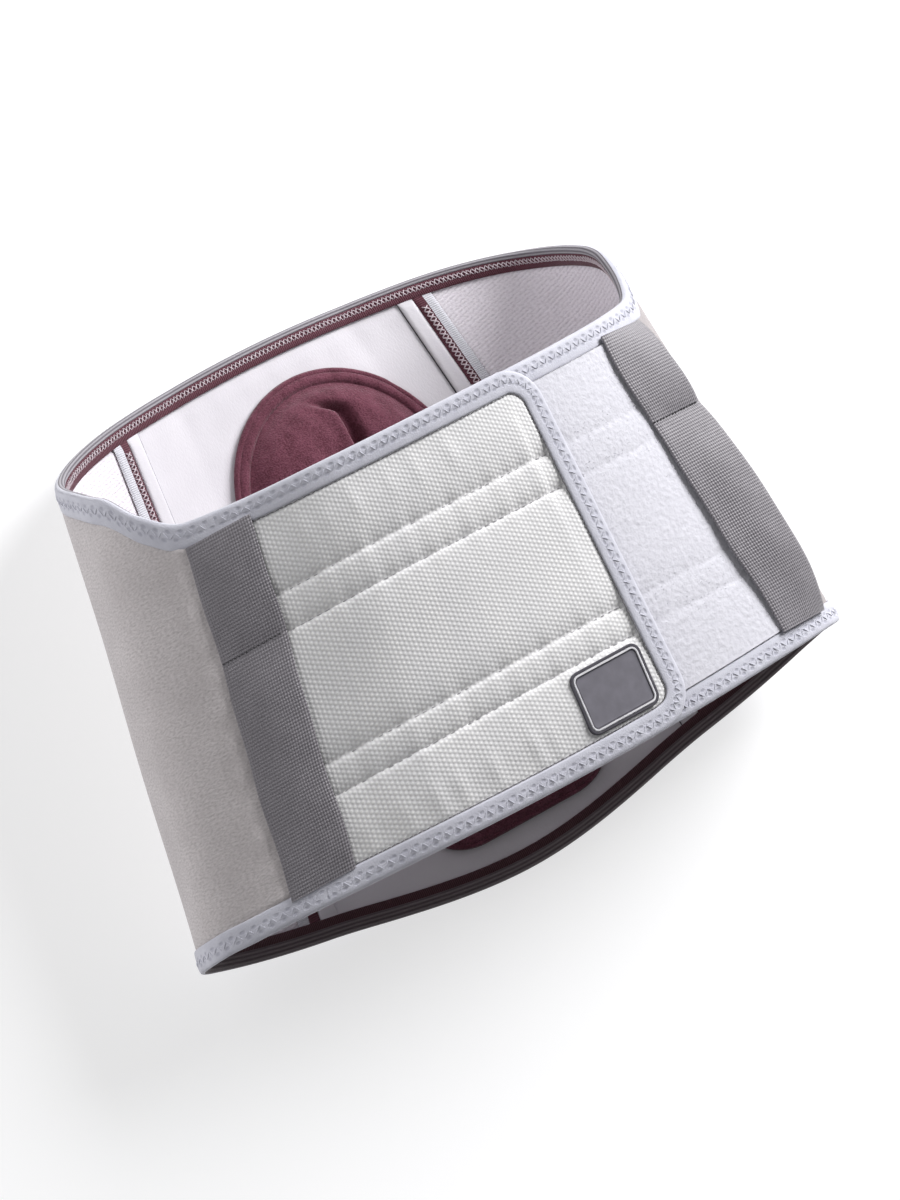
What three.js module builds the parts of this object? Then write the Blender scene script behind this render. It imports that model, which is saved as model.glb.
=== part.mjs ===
// A lumbosacral brace, closed at the front and lying on its back panel.
// Millimetres. +X points right as the front is seen, +Y to the upper edge, +Z up from the floor.
// The origin is on the floor under the middle of the brace. Angles are degrees round the loop:
// 0 is the middle of the front, positive to the right, 180 the middle of the back.
// A depth is measured in from the outer face of the loop's wall, so a negative depth lies outside it.
import * as THREE from 'three';

// The loop: a round front on a flatter back, whose lowest part is pressed flat on the floor
const HALF_WIDTH = 168;
const HALF_WIDTH_SLOPE = -0.206;
const LOOP_DEPTH = 126.5;
const LOOP_DEPTH_SLOPE = 0.205;
const PRESSED_FLAT = 3;
const FRONT_POWER = 2;
const BACK_POWER = 3.3;
// The right side is folded over more sharply than the left, from the strap to the seam
const RIGHT_TUCK = { share: 0.06, slope: -0.00027, start: 44, full: 82, end: 152 };
// Puts the middle of the whole brace over the origin
const MIDDLE_X = -6.65;

// Height of both edges round the loop, the same on the left and the right
const EDGE_ROWS = [
  { angle: 0, upper: 63.5, lower: -112 },
  { angle: 54, upper: 69.3, lower: -107 },
  { angle: 66, upper: 81.7, lower: -106.5 },
  { angle: 78, upper: 97.3, lower: -106 },
  { angle: 122, upper: 119, lower: -109.5 },
  { angle: 152, upper: 133, lower: -122 },
  { angle: 180, upper: 138, lower: -138 },
];

// Walls and the seams between panels
const WALL = 3;
const GAP = 0.3;
const SEAM_ANGLES = { left: -149.3, right: 150 };
const STRAP_ANGLE = 47.5;
const UNDER_PANEL_START = -20;
const SEAM_GAP_ANGLE = 0.1;

// Bindings fold over the panels' edges, which are squeezed thin inside them
const BINDING_HEIGHT = 10;
const BINDING_TAPE = 1;
const BINDING_BACK_LEG = 4;
const BINDING_BEVEL = { inset: 0.8, depth: 1.2 };
const SQUEEZED = { outer: BINDING_TAPE + GAP, inner: WALL - GAP };
const FACING_TAPE = 1;
const FACING_END = 8.6;
// Tape on a slope is widened along the loop's axis by no more than this
const MAX_STRETCH = 1.2;

// Closure flap over the under panel
const FLAP_END_ANGLE = 17.2;
const FLAP_CORNER = 18;
const FLAP_CORNER_ANGLE = 7;
const FLAP_CORNER_STEPS = { cloth: 5, binding: 6 };
// Keeps the margin's three lines apart past the corner, in parts of the way to the free end
const MARGIN_SPREAD = 0.3;
const FLAP_LIFT = 5.8;
const LIFT_START_ANGLE = -42;
const LIFT_END_ANGLE = -22;
const CHANNEL_START_ANGLE = -40;
const CHANNEL_FULL_ANGLE = -34;
const CHANNELS = [
  { middle: -60.5, half: 7 },
  { middle: 14, half: 8 },
];
// Across one channel: place in half heights from its middle, and how far the cloth rises there
const CHANNEL_ROWS = [
  { place: -1.3, rise: 0 },
  { place: -1, rise: -0.6 },
  { place: -0.55, rise: 1 },
  { place: 0, rise: 1.4 },
  { place: 0.55, rise: 1 },
  { place: 1, rise: -0.6 },
  { place: 1.3, rise: 0 },
];

// Loop pile, set in from the seam and from the under panel's hidden end
const PILE = 1.2;
const PILE_MARGIN_ANGLE = 1;

// Hand straps: the angle of each end, where it is sewn down between, how far its two loops stand off,
// and how far its right edge rises from the curved wall, as stiff webbing stays flat across
const STRAP_WIDTH = 32;
const STRAP_TAPE = 1.5;
const STRAP_STEPS = 16;
const STRAPS = [
  {
    name: 'hand_strap_left', upperAngle: -47.8, lowerAngle: -48.3,
    base: GAP, stitch: 7, upperLoop: 1.5, lowerLoop: 2.5, outerRise: 0,
  },
  {
    name: 'hand_strap_right', upperAngle: 43.6, lowerAngle: 47.2,
    base: PILE + 2 * GAP, stitch: 13, upperLoop: 2.5, lowerLoop: 5, outerRise: 4.5,
  },
];

// Tapes and stay channels over the back seams, inside
const SEAM_TAPE_WIDTH = 11;
const SEAM_TAPE = 1;
const STAY_WIDTH = 8;
const STAY_TAPE = 1.8;
const SEAM_STRIP_STEPS = 6;

// Lumbar pad: a round top, sides that draw in and a blunt foot, with a flat sewn border
const PAD = {
  centreX: 8, halfWidth: 60, widestY: 50, topY: 116,
  sidePull: 80, footY: -119, footHalfWidth: 50, footRound: 14,
};
const PAD_POINTS = 40;
const PAD_SEAT_GAP = 0.5;
const PAD_BORDER = 8;
const PAD_RINGS = [
  { inset: 0, height: 3 },
  { inset: 3, height: 4.5 },
  { inset: PAD_BORDER, height: 4 },
  { inset: 14, height: 11 },
  { inset: 24, height: 17 },
  { inset: 36, height: 19 },
  { inset: 48, height: 19.5 },
  { inset: 60, height: 19.5 },
];
// The line that the pad's rings draw in towards, and how near they come to it
const PAD_SPINE = { fromFoot: 45, fromTop: 50, reach: 0.96 };
const PAD_FOLD = { depth: 10, halfWidth: 9, topY: 100, fullY: 80, endY: -10 };

const PATCH = { left: -0.5, right: 39.5, lower: -99.8, upper: -70, corner: 5, thickness: 1.6 };

// Angles are closer together round the sides, where the wall bends most
const TURN_STEP = 4.5;
const LEAST_STEP = 0.5;
const FRONT_SPREAD = 0.85;
const PANEL_ROWS = 4;

const MATERIALS = {
  lining: { color: 0xe4e1e6, roughness: 0.9 },
  knit: { color: 0xb5aeab, roughness: 0.9 },
  weave: { color: 0xdcdcd8, roughness: 0.85 },
  pile: { color: 0xe6e6ee, roughness: 1 },
  webbing: { color: 0x6e6870, roughness: 0.75 },
  binding: { color: 0xb2b2c0, roughness: 0.85 },
  burgundy: { color: 0x5c2a36, roughness: 0.9 },
  velour: { color: 0x6f3044, roughness: 1 },
  rubber: { color: 0x55535a, roughness: 0.6 },
};

const { degToRad, radToDeg, smoothstep } = THREE.MathUtils;
const brace = new THREE.Group();
const loop = new THREE.Group();
loop.position.x = -MIDDLE_X;
brace.add(loop);

// Loop surface

function halfWidthAt(angle, y) {
  const { share, slope, start, full, end } = RIGHT_TUCK;
  const turn = THREE.MathUtils.euclideanModulo(angle + 180, 360) - 180;
  const tucked = smoothstep(turn, start, full) * (1 - smoothstep(turn, full, end));
  return (HALF_WIDTH + HALF_WIDTH_SLOPE * y) * (1 - (share + slope * y) * tucked);
}

function sectionPoint(angle, y) {
  const height = LOOP_DEPTH + LOOP_DEPTH_SLOPE * y + PRESSED_FLAT;
  const cosine = Math.cos(degToRad(angle));
  const power = cosine > 0 ? FRONT_POWER : BACK_POWER;
  const reach = Math.sqrt(Math.max(0, 1 - Math.abs(cosine) ** power));
  const x = halfWidthAt(angle, y) * reach * Math.sign(Math.sin(degToRad(angle)));
  return new THREE.Vector2(x, Math.max(0, (height / 2) * (1 + cosine) - PRESSED_FLAT));
}

function sectionTangent(angle, y) {
  const reach = 0.5;
  return sectionPoint(angle + reach, y).sub(sectionPoint(angle - reach, y));
}

function loopPoint(angle, y, depth) {
  const tangent = sectionTangent(angle, y).normalize();
  const { x, y: z } = sectionPoint(angle, y);
  return new THREE.Vector3(x + depth * tangent.y, y, z - depth * tangent.x);
}

function angleBeside(angle, y, distance) {
  return angle + distance / sectionTangent(angle, y).length();
}

function edgeHeight(edge, angle) {
  const turn = Math.abs(THREE.MathUtils.euclideanModulo(angle + 180, 360) - 180);
  const next = Math.max(1, EDGE_ROWS.findIndex((row) => row.angle >= turn));
  const [before, after] = [EDGE_ROWS[next - 1], EDGE_ROWS[next]];
  const slopeAt = (row) => {
    const [left, right] = [EDGE_ROWS[row - 1], EDGE_ROWS[row + 1]];
    return left && right ? (right[edge] - left[edge]) / (right.angle - left.angle) : 0;
  };
  const span = after.angle - before.angle;
  const t = (turn - before.angle) / span;
  const blend = t * t * (3 - 2 * t);
  const leave = t * (1 - t) ** 2 * span * slopeAt(next - 1);
  const arrive = t * t * (t - 1) * span * slopeAt(next);
  return before[edge] * (1 - blend) + after[edge] * blend + leave + arrive;
}

// Height at a distance in from an edge, measured square to a sloping edge
function insetHeight(edge, angle, inset) {
  const reach = 2;
  const climb = edgeHeight(edge, angle + reach) - edgeHeight(edge, angle - reach);
  const run = sectionPoint(angle + reach, 0).distanceTo(sectionPoint(angle - reach, 0));
  const stretch = Math.min(MAX_STRETCH, Math.hypot(1, climb / run));
  const inward = edge === 'upper' ? -1 : 1;
  return edgeHeight(edge, angle) + inward * inset * stretch;
}

function anglesBetween(from, to) {
  const angles = [from];
  for (let turn = -180; turn <= 540; turn += TURN_STEP) {
    const whole = Math.round(turn / 360) * 360;
    const part = degToRad(turn - whole);
    const angle = whole + radToDeg(Math.atan2(Math.sin(part), FRONT_SPREAD * Math.cos(part)));
    if (angle > from + LEAST_STEP && angle < to - LEAST_STEP) angles.push(angle);
  }
  return [...angles, to];
}

// The flap rises from the loop on the left and ends past the middle
function flapLift(angle) {
  if (angle > FLAP_END_ANGLE) return 0;
  return FLAP_LIFT * smoothstep(angle, LIFT_START_ANGLE, LIFT_END_ANGLE);
}

// Closed bodies

function addBody(name, materialName, vertices, triangles) {
  const geometry = new THREE.BufferGeometry().setFromPoints(vertices);
  const volume = triangles.reduce((sum, [a, b, c]) => (
    sum + vertices[a].dot(new THREE.Vector3().crossVectors(vertices[b], vertices[c]))
  ), 0);
  const outward = volume > 0 ? triangles : triangles.map(([a, b, c]) => [a, c, b]);
  geometry.setIndex(outward.flat());
  geometry.computeVertexNormals();
  const mesh = new THREE.Mesh(geometry, new THREE.MeshStandardMaterial(MATERIALS[materialName]));
  mesh.name = name;
  loop.add(mesh);
}

function quad(a, b, c, d) {
  return [[a, b, c], [a, c, d]];
}

// A wall between an outer and an inner sheet of points, in columns of { outer, inner } rows
function addWall(name, materialName, columns) {
  const rows = columns[0].length;
  const last = columns.length - 1;
  const sheet = columns.length * rows;
  const vertices = [...columns.flat().map((p) => p.outer), ...columns.flat().map((p) => p.inner)];
  const outer = (i, j) => i * rows + j;
  const inner = (i, j) => sheet + i * rows + j;
  const triangles = [];
  for (let i = 0; i < last; i += 1) {
    for (let j = 0; j < rows - 1; j += 1) {
      triangles.push(...quad(outer(i, j), outer(i + 1, j), outer(i + 1, j + 1), outer(i, j + 1)));
      triangles.push(...quad(inner(i, j), inner(i, j + 1), inner(i + 1, j + 1), inner(i + 1, j)));
    }
    triangles.push(...quad(outer(i + 1, 0), outer(i, 0), inner(i, 0), inner(i + 1, 0)));
    const top = rows - 1;
    triangles.push(...quad(outer(i, top), outer(i + 1, top), inner(i + 1, top), inner(i, top)));
  }
  for (let j = 0; j < rows - 1; j += 1) {
    triangles.push(...quad(outer(0, j), outer(0, j + 1), inner(0, j + 1), inner(0, j)));
    triangles.push(...quad(outer(last, j + 1), outer(last, j), inner(last, j), inner(last, j + 1)));
  }
  addBody(name, materialName, vertices, triangles);
}

// A closed section carried through a row of stations, with both ends capped
function addSweep(name, materialName, stations, sectionOutline) {
  const sides = sectionOutline.length;
  const last = (stations.length - 1) * sides;
  const triangles = [];
  for (let i = 0; i < stations.length - 1; i += 1) {
    for (let j = 0; j < sides; j += 1) {
      const [here, beside] = [i * sides + j, i * sides + (j + 1) % sides];
      triangles.push(...quad(here, here + sides, beside + sides, beside));
    }
  }
  const contour = sectionOutline.map(({ inset, depth }) => new THREE.Vector2(inset, depth));
  const turnsLeft = THREE.ShapeUtils.area(contour) > 0;
  for (const [a, b, c] of THREE.ShapeUtils.triangulateShape(contour, [])) {
    const [first, second] = turnsLeft ? [b, c] : [c, b];
    triangles.push([a, first, second], [last + a, last + second, last + first]);
  }
  addBody(name, materialName, stations.flat(), triangles);
}

// Panels

// Rows across a panel: squeezed under each binding, full between, with any rows in between
function panelColumn(angle, between = [], lift = 0) {
  const row = (y, outer, inner) => ({
    outer: loopPoint(angle, y, outer - lift),
    inner: loopPoint(angle, y, inner - lift),
  });
  const margin = (edge) => [
    row(insetHeight(edge, angle, BINDING_TAPE + GAP), SQUEEZED.outer, SQUEEZED.inner),
    row(insetHeight(edge, angle, BINDING_HEIGHT + GAP), SQUEEZED.outer, SQUEEZED.inner),
    row(insetHeight(edge, angle, BINDING_HEIGHT + 2 * GAP), 0, WALL),
  ];
  const middle = between.map(({ y, rise }) => row(y, -rise, WALL));
  return [...margin('lower'), ...middle, ...margin('upper').reverse()];
}

function rowsBetween(angle) {
  const [bottom, top] = [edgeHeight('lower', angle), edgeHeight('upper', angle)];
  return [...Array(PANEL_ROWS).keys()].map((row) => (
    THREE.MathUtils.lerp(bottom, top, (row + 1) / (PANEL_ROWS + 1))
  ));
}

function addPanel(name, materialName, from, to) {
  const columns = anglesBetween(from, to).map((angle) => {
    return panelColumn(angle, rowsBetween(angle).map((y) => ({ y, rise: 0 })));
  });
  addWall(name, materialName, columns);
}

function addPile() {
  const from = UNDER_PANEL_START + PILE_MARGIN_ANGLE;
  const to = STRAP_ANGLE - PILE_MARGIN_ANGLE;
  const columns = anglesBetween(from, to).map((angle) => {
    const ends = ['lower', 'upper'].map((edge) => insetHeight(edge, angle, BINDING_HEIGHT + 3 * GAP));
    const heights = [ends[0], ...rowsBetween(angle), ends[1]];
    return heights.map((y) => ({
      outer: loopPoint(angle, y, -PILE - GAP),
      inner: loopPoint(angle, y, -GAP),
    }));
  });
  addWall('loop_pile', 'pile', columns);
}

// Bindings

const BINDING_SECTION = [
  { inset: BINDING_HEIGHT, depth: 0 },
  { inset: BINDING_BEVEL.inset, depth: 0 },
  { inset: 0, depth: BINDING_BEVEL.depth },
  { inset: 0, depth: WALL + BINDING_TAPE - BINDING_BEVEL.depth },
  { inset: BINDING_BEVEL.inset, depth: WALL + BINDING_TAPE },
  { inset: BINDING_BACK_LEG, depth: WALL + BINDING_TAPE },
  { inset: BINDING_BACK_LEG, depth: WALL },
  { inset: BINDING_TAPE, depth: WALL },
  { inset: BINDING_TAPE, depth: BINDING_TAPE },
  { inset: BINDING_HEIGHT, depth: BINDING_TAPE },
];
const FACING_SECTION = [
  { inset: BINDING_BACK_LEG + GAP, depth: WALL },
  { inset: FACING_END, depth: WALL },
  { inset: FACING_END, depth: WALL + FACING_TAPE },
  { inset: BINDING_BACK_LEG + GAP, depth: WALL + FACING_TAPE },
];

function addEdgeTape(name, materialName, edge, sectionOutline) {
  const from = UNDER_PANEL_START;
  const to = 360 - STRAP_ANGLE - SEAM_GAP_ANGLE;
  const stations = anglesBetween(from, to).map((angle) => sectionOutline.map(({ inset, depth }) => (
    loopPoint(angle, insetHeight(edge, angle, inset), depth)
  )));
  addSweep(name, materialName, stations, sectionOutline);
}

// Closure flap

// A place on the flap, from the distance to its free end and its height
function flapAngle(fromEnd, y) {
  return angleBeside(FLAP_END_ANGLE, y, -fromEnd);
}

// Drop of a rounded corner's outline at a distance from the free end, once it is inset all round
function cornerDrop(fromEnd, inset) {
  const radius = FLAP_CORNER - inset;
  const within = radius - (fromEnd - inset);
  return within > 0 ? radius - Math.sqrt(Math.max(0, radius ** 2 - within ** 2)) : 0;
}

// The channels start flat under the hand strap and rise beside it
function channelRows(angle) {
  const grown = smoothstep(angle, CHANNEL_START_ANGLE, CHANNEL_FULL_ANGLE);
  return CHANNELS.flatMap(({ middle, half }) => (
    CHANNEL_ROWS.map(({ place, rise }) => ({ y: middle + place * half, rise: rise * grown }))
  ));
}

// Angles of the flap's columns before its rounded corners
function plainFlapAngles() {
  return anglesBetween(-STRAP_ANGLE + SEAM_GAP_ANGLE, FLAP_END_ANGLE - FLAP_CORNER_ANGLE).slice(0, -1);
}

function addFlap() {
  const margins = {
    edge: BINDING_TAPE + GAP,
    squeezed: BINDING_HEIGHT + GAP,
    full: BINDING_HEIGHT + 2 * GAP,
  };
  const plain = plainFlapAngles()
    .map((angle) => panelColumn(angle, channelRows(angle), flapLift(angle)));
  const corner = [];
  for (let step = FLAP_CORNER_STEPS.cloth; step >= 0; step -= 1) {
    const turn = (step / FLAP_CORNER_STEPS.cloth) * Math.PI / 2;
    corner.push({ fromEnd: FLAP_CORNER - (FLAP_CORNER - margins.edge) * Math.cos(turn), full: true });
  }
  const inFull = corner.filter(({ fromEnd }) => fromEnd > margins.full + 1);
  const inMargin = corner.filter(({ fromEnd }) => fromEnd < margins.squeezed - 1);
  const ends = [
    ...inFull,
    { fromEnd: margins.full, full: true },
    { fromEnd: margins.squeezed, full: false },
    ...inMargin.map(({ fromEnd }) => ({ fromEnd, full: false })),
  ];
  const rounded = ends.map(({ fromEnd, full }) => {
    const row = (y, outer, inner) => ({
      outer: loopPoint(flapAngle(fromEnd, y), y, outer - FLAP_LIFT),
      inner: loopPoint(flapAngle(fromEnd, y), y, inner - FLAP_LIFT),
    });
    const margin = (edge) => Object.entries(margins).map(([kind, inset]) => {
      const inward = edge === 'upper' ? -1 : 1;
      const past = Math.max(0, inset - fromEnd);
      const drop = cornerDrop(fromEnd + past, inset) + MARGIN_SPREAD * past;
      const y = insetHeight(edge, FLAP_END_ANGLE, inset) + inward * drop;
      const thick = full && kind === 'full';
      return row(y, thick ? 0 : SQUEEZED.outer, thick ? WALL : SQUEEZED.inner);
    });
    const middle = channelRows(FLAP_END_ANGLE).map(({ y, rise }) => (
      full ? row(y, -rise, WALL) : row(y, SQUEEZED.outer, SQUEEZED.inner)
    ));
    return [...margin('lower'), ...middle, ...margin('upper').reverse()];
  });
  addWall('closure_flap', 'weave', [...plain, ...rounded]);
}

function addFlapBinding() {
  const edgeStations = (edge) => plainFlapAngles().map((angle) => (
    BINDING_SECTION.map(({ inset, depth }) => (
      loopPoint(angle, insetHeight(edge, angle, inset), depth - flapLift(angle))
    ))
  ));
  const cornerStations = (edge) => {
    const inward = edge === 'upper' ? -1 : 1;
    const centreY = insetHeight(edge, FLAP_END_ANGLE, FLAP_CORNER);
    const stations = [];
    for (let step = 0; step <= FLAP_CORNER_STEPS.binding; step += 1) {
      const turn = (step / FLAP_CORNER_STEPS.binding) * Math.PI / 2;
      stations.push(BINDING_SECTION.map(({ inset, depth }) => {
        const radius = FLAP_CORNER - inset;
        const y = centreY - inward * radius * Math.cos(turn);
        return loopPoint(flapAngle(FLAP_CORNER - radius * Math.sin(turn), y), y, depth - FLAP_LIFT);
      }));
    }
    return stations;
  };
  const stations = [
    ...edgeStations('upper'), ...cornerStations('upper'),
    ...cornerStations('lower').reverse(), ...edgeStations('lower').reverse(),
  ];
  addSweep('binding_flap', 'binding', stations, BINDING_SECTION);
}

// Straps and inner tapes

function addStrap({ name, upperAngle, lowerAngle, base, stitch, upperLoop, lowerLoop, outerRise }) {
  const [bottom, top] = [['lower', lowerAngle], ['upper', upperAngle]].map(([edge, angle]) => (
    insetHeight(edge, angle, BINDING_HEIGHT + 2 * GAP)
  ));
  const standOff = (y, across) => {
    const [from, to, loopHeight] = y < stitch ? [bottom, stitch, lowerLoop] : [stitch, top, upperLoop];
    const along = (y - from) / (to - from);
    const fromMiddle = (2 * (y - bottom)) / (top - bottom) - 1;
    const rise = outerRise * (across + 0.5) ** 2 * (1 - fromMiddle ** 4);
    return base + rise + loopHeight * 4 * along * (1 - along);
  };
  const heights = [...Array(STRAP_STEPS + 1).keys()].map((step) => {
    const y = bottom + (step / STRAP_STEPS) * (top - bottom);
    return Math.abs(y - stitch) < (top - bottom) / STRAP_STEPS / 2 ? stitch : y;
  });
  const columns = [-0.5, -0.25, 0, 0.25, 0.5].map((across) => heights.map((y) => {
    const centre = THREE.MathUtils.mapLinear(y, bottom, top, lowerAngle, upperAngle);
    const angle = angleBeside(centre, y, across * STRAP_WIDTH);
    const depth = -standOff(y, across) - flapLift(angle);
    return { outer: loopPoint(angle, y, depth - STRAP_TAPE), inner: loopPoint(angle, y, depth) };
  }));
  addWall(name, 'webbing', columns);
}

// A strip along a back seam, between two distances from the seam towards the middle of the back
function addSeamStrip(name, materialName, seam, from, to, thickness) {
  const side = Math.sign(seam);
  const steps = [...Array(SEAM_STRIP_STEPS + 1).keys()];
  const columns = [0, 0.5, 1].map((across) => steps.map((step) => {
    const angle = angleBeside(seam, 0, side * (from + across * (to - from)));
    const ends = ['lower', 'upper'].map((edge) => insetHeight(edge, angle, BINDING_HEIGHT + 3 * GAP));
    const y = THREE.MathUtils.lerp(ends[0], ends[1], step / SEAM_STRIP_STEPS);
    return { outer: loopPoint(angle, y, WALL + GAP), inner: loopPoint(angle, y, WALL + GAP + thickness) };
  }));
  addWall(name, materialName, columns);
}

// Lumbar pad

function padOutline() {
  const { halfWidth, widestY, topY, sidePull, footY, footHalfWidth, footRound } = PAD;
  const pullY = widestY - sidePull;
  const [footInner, footOuter] = [footHalfWidth - footRound, footHalfWidth + footRound];
  const path = new THREE.Path();
  path.absellipse(0, widestY, halfWidth, topY - widestY, 0, Math.PI, false);
  path.bezierCurveTo(-halfWidth, pullY, -footOuter, footY, -footInner, footY);
  path.lineTo(footInner, footY);
  path.bezierCurveTo(footOuter, footY, halfWidth, pullY, halfWidth, widestY);
  return path.getSpacedPoints(PAD_POINTS).slice(0, -1);
}

function padFold(x, y) {
  const { depth, halfWidth, topY, fullY, endY } = PAD_FOLD;
  const along = (1 - smoothstep(y, fullY, topY)) * smoothstep(y, endY, fullY);
  return depth * along * Math.exp(-((x / halfWidth) ** 2));
}

function padPoint(x, y, height) {
  const reach = (PAD.centreX + x) / halfWidthAt(180, y);
  const fromBack = radToDeg(Math.acos((1 - reach ** 2) ** (1 / BACK_POWER)));
  return loopPoint(180 - Math.sign(reach) * fromBack, y, WALL + PAD_SEAT_GAP + height);
}

function addPad() {
  const outline = padOutline();
  const spineEnd = { low: PAD.footY + PAD_SPINE.fromFoot, high: PAD.topY - PAD_SPINE.fromTop };
  const inset = (point, distance) => {
    const spineY = THREE.MathUtils.clamp(point.y, spineEnd.low, spineEnd.high);
    const toSpine = new THREE.Vector2(0, spineY).sub(point);
    return toSpine.setLength(Math.min(distance, toSpine.length() * PAD_SPINE.reach)).add(point);
  };
  const rings = PAD_RINGS.map((ring) => outline.map((point) => inset(point, ring.inset)));
  const vertices = outline.map(({ x, y }) => padPoint(x, y, 0));
  PAD_RINGS.forEach(({ inset: distance, height }, ring) => {
    const folded = smoothstep(distance, PAD_BORDER, PAD_BORDER + PAD_FOLD.halfWidth);
    vertices.push(...rings[ring].map(({ x, y }) => padPoint(x, y, height - folded * padFold(x, y))));
  });
  const count = outline.length;
  const triangles = [];
  for (let here = 0; here < vertices.length - count; here += 1) {
    const beside = (here + 1) % count === 0 ? here + 1 - count : here + 1;
    triangles.push(...quad(here, beside, beside + count, here + count));
  }
  const crest = vertices.length - count;
  for (const [a, b, c] of THREE.ShapeUtils.triangulateShape(outline, [])) triangles.push([a, c, b]);
  for (const [a, b, c] of THREE.ShapeUtils.triangulateShape(rings.at(-1), [])) {
    triangles.push([crest + a, crest + b, crest + c]);
  }
  addBody('lumbar_pad', 'velour', vertices, triangles);
}

function addPatch() {
  const { left, right, lower, upper, corner, thickness } = PATCH;
  const places = [0, 0.3, 1].map((turn) => corner * (1 - Math.cos(turn * Math.PI / 2)));
  const across = [
    ...places.map((place) => left + place), (left + right) / 2,
    ...places.map((place) => right - place).reverse(),
  ];
  const columns = across.map((x) => {
    const fromSide = Math.min(x - left, right - x);
    const drop = fromSide < corner ? corner - Math.sqrt(corner ** 2 - (corner - fromSide) ** 2) : 0;
    return [lower + drop, upper - drop].map((y) => {
      const angle = radToDeg(Math.asin(x / halfWidthAt(0, y)));
      const face = -FLAP_LIFT - GAP;
      return { outer: loopPoint(angle, y, face - thickness), inner: loopPoint(angle, y, face) };
    });
  });
  addWall('label_patch', 'rubber', columns);
}

const { left: leftSeam, right: rightSeam } = SEAM_ANGLES;
addPanel('back_panel', 'lining', rightSeam + SEAM_GAP_ANGLE, 360 + leftSeam - SEAM_GAP_ANGLE);
addPanel('side_panel_right', 'knit', STRAP_ANGLE + SEAM_GAP_ANGLE, rightSeam - SEAM_GAP_ANGLE);
addPanel('side_panel_left', 'knit', leftSeam + SEAM_GAP_ANGLE, -STRAP_ANGLE - SEAM_GAP_ANGLE);
addPanel('under_panel', 'weave', UNDER_PANEL_START, STRAP_ANGLE - SEAM_GAP_ANGLE);
addPile();
addFlap();
for (const edge of ['upper', 'lower']) {
  addEdgeTape(`binding_${edge}`, 'binding', edge, BINDING_SECTION);
  addEdgeTape(`facing_${edge}`, 'burgundy', edge, FACING_SECTION);
}
addFlapBinding();
STRAPS.forEach(addStrap);
for (const [label, seam] of Object.entries(SEAM_ANGLES)) {
  const tapeEdge = SEAM_TAPE_WIDTH / 2;
  const stayEdge = tapeEdge + GAP;
  addSeamStrip(`seam_tape_${label}`, 'burgundy', seam, -tapeEdge, tapeEdge, SEAM_TAPE);
  addSeamStrip(`stay_channel_${label}`, 'lining', seam, stayEdge, stayEdge + STAY_WIDTH, STAY_TAPE);
}
addPad();
addPatch();

export default brace;
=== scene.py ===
from functools import reduce
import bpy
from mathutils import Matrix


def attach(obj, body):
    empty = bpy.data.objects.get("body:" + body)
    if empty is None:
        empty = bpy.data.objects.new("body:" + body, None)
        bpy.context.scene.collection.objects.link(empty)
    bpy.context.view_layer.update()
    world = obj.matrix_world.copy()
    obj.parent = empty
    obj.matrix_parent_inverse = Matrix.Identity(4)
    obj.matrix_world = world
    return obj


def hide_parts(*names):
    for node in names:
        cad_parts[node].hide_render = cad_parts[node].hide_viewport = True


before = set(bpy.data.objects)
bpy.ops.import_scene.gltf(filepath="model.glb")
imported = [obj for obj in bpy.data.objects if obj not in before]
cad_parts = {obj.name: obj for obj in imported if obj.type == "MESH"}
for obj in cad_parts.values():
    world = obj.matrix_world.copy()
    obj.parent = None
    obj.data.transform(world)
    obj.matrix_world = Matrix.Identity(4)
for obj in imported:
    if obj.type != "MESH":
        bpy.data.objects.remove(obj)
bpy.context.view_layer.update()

from types import SimpleNamespace as Values

import bpy
import numpy as np
from mathutils import Matrix, Vector

# A lumbosacral brace, closed at the front and lying on its back panel.
# Lengths are millimetres until a mesh is made. Angles are degrees round the loop: 0 is the middle
# of the front, positive to the right, 180 the middle of the back. A depth is measured in from the
# outer face of the loop's wall, so a negative depth lies outside it.
MM = 0.001
SEED = 7
EDGES = ("lower", "upper")
CORNER_SIGNS = ((1, 1), (-1, 1), (-1, -1), (1, -1))

# The loop, as in the frame
HALF_WIDTH = 168.0
HALF_WIDTH_SLOPE = -0.206
LOOP_DEPTH = 126.5
LOOP_DEPTH_SLOPE = 0.205
PRESSED_FLAT = 3.0
FRONT_POWER = 2.0
BACK_POWER = 3.3
TUCK = Values(share=0.06, slope=-0.00027, rise=(44, 82), fall=(82, 152))
MIDDLE_X = 6.65
WALL = 3.0
GAP = 0.3
SEAM_ANGLES = {"left": -149.3, "right": 150.0}
STRAP_ANGLE = 47.5
UNDER_PANEL_START = -20.0
EDGE_ANGLES = np.array([0, 54, 66, 78, 122, 152, 180], float)
EDGE_HEIGHTS = {
    "upper": np.array([63.5, 69.3, 81.7, 97.3, 119, 133, 138]),
    "lower": np.array([-112, -107, -106.5, -106, -109.5, -122, -138]),
}
MAX_STRETCH = 1.2
STRETCH_REACH = 2
TANGENT_REACH = 0.5

# Edge tapes
BINDING_HEIGHT = 10.0
HIDDEN_MARGIN = 1.5
SQUEEZE = Values(start=9.4, full=11.8, outer=0.6, inner=2.4)
FLOOR_CLEAR = 8.0
TRACK_STEP = 1.6
STITCH = Values(pitch=5.6, low=2.9, high=6.2, pull=0.14, reach=2.5, hole=1.6)
BACK_LEG = {"upper": 3.0, "lower": 5.4}
OUTER_LEG_DEPTH = 0.2
FOLD_SIDES = range(11, 18)
THREAD = Values(sides=6, blunt=0.25, least_reach=0.5, uneven=0.07)

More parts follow.
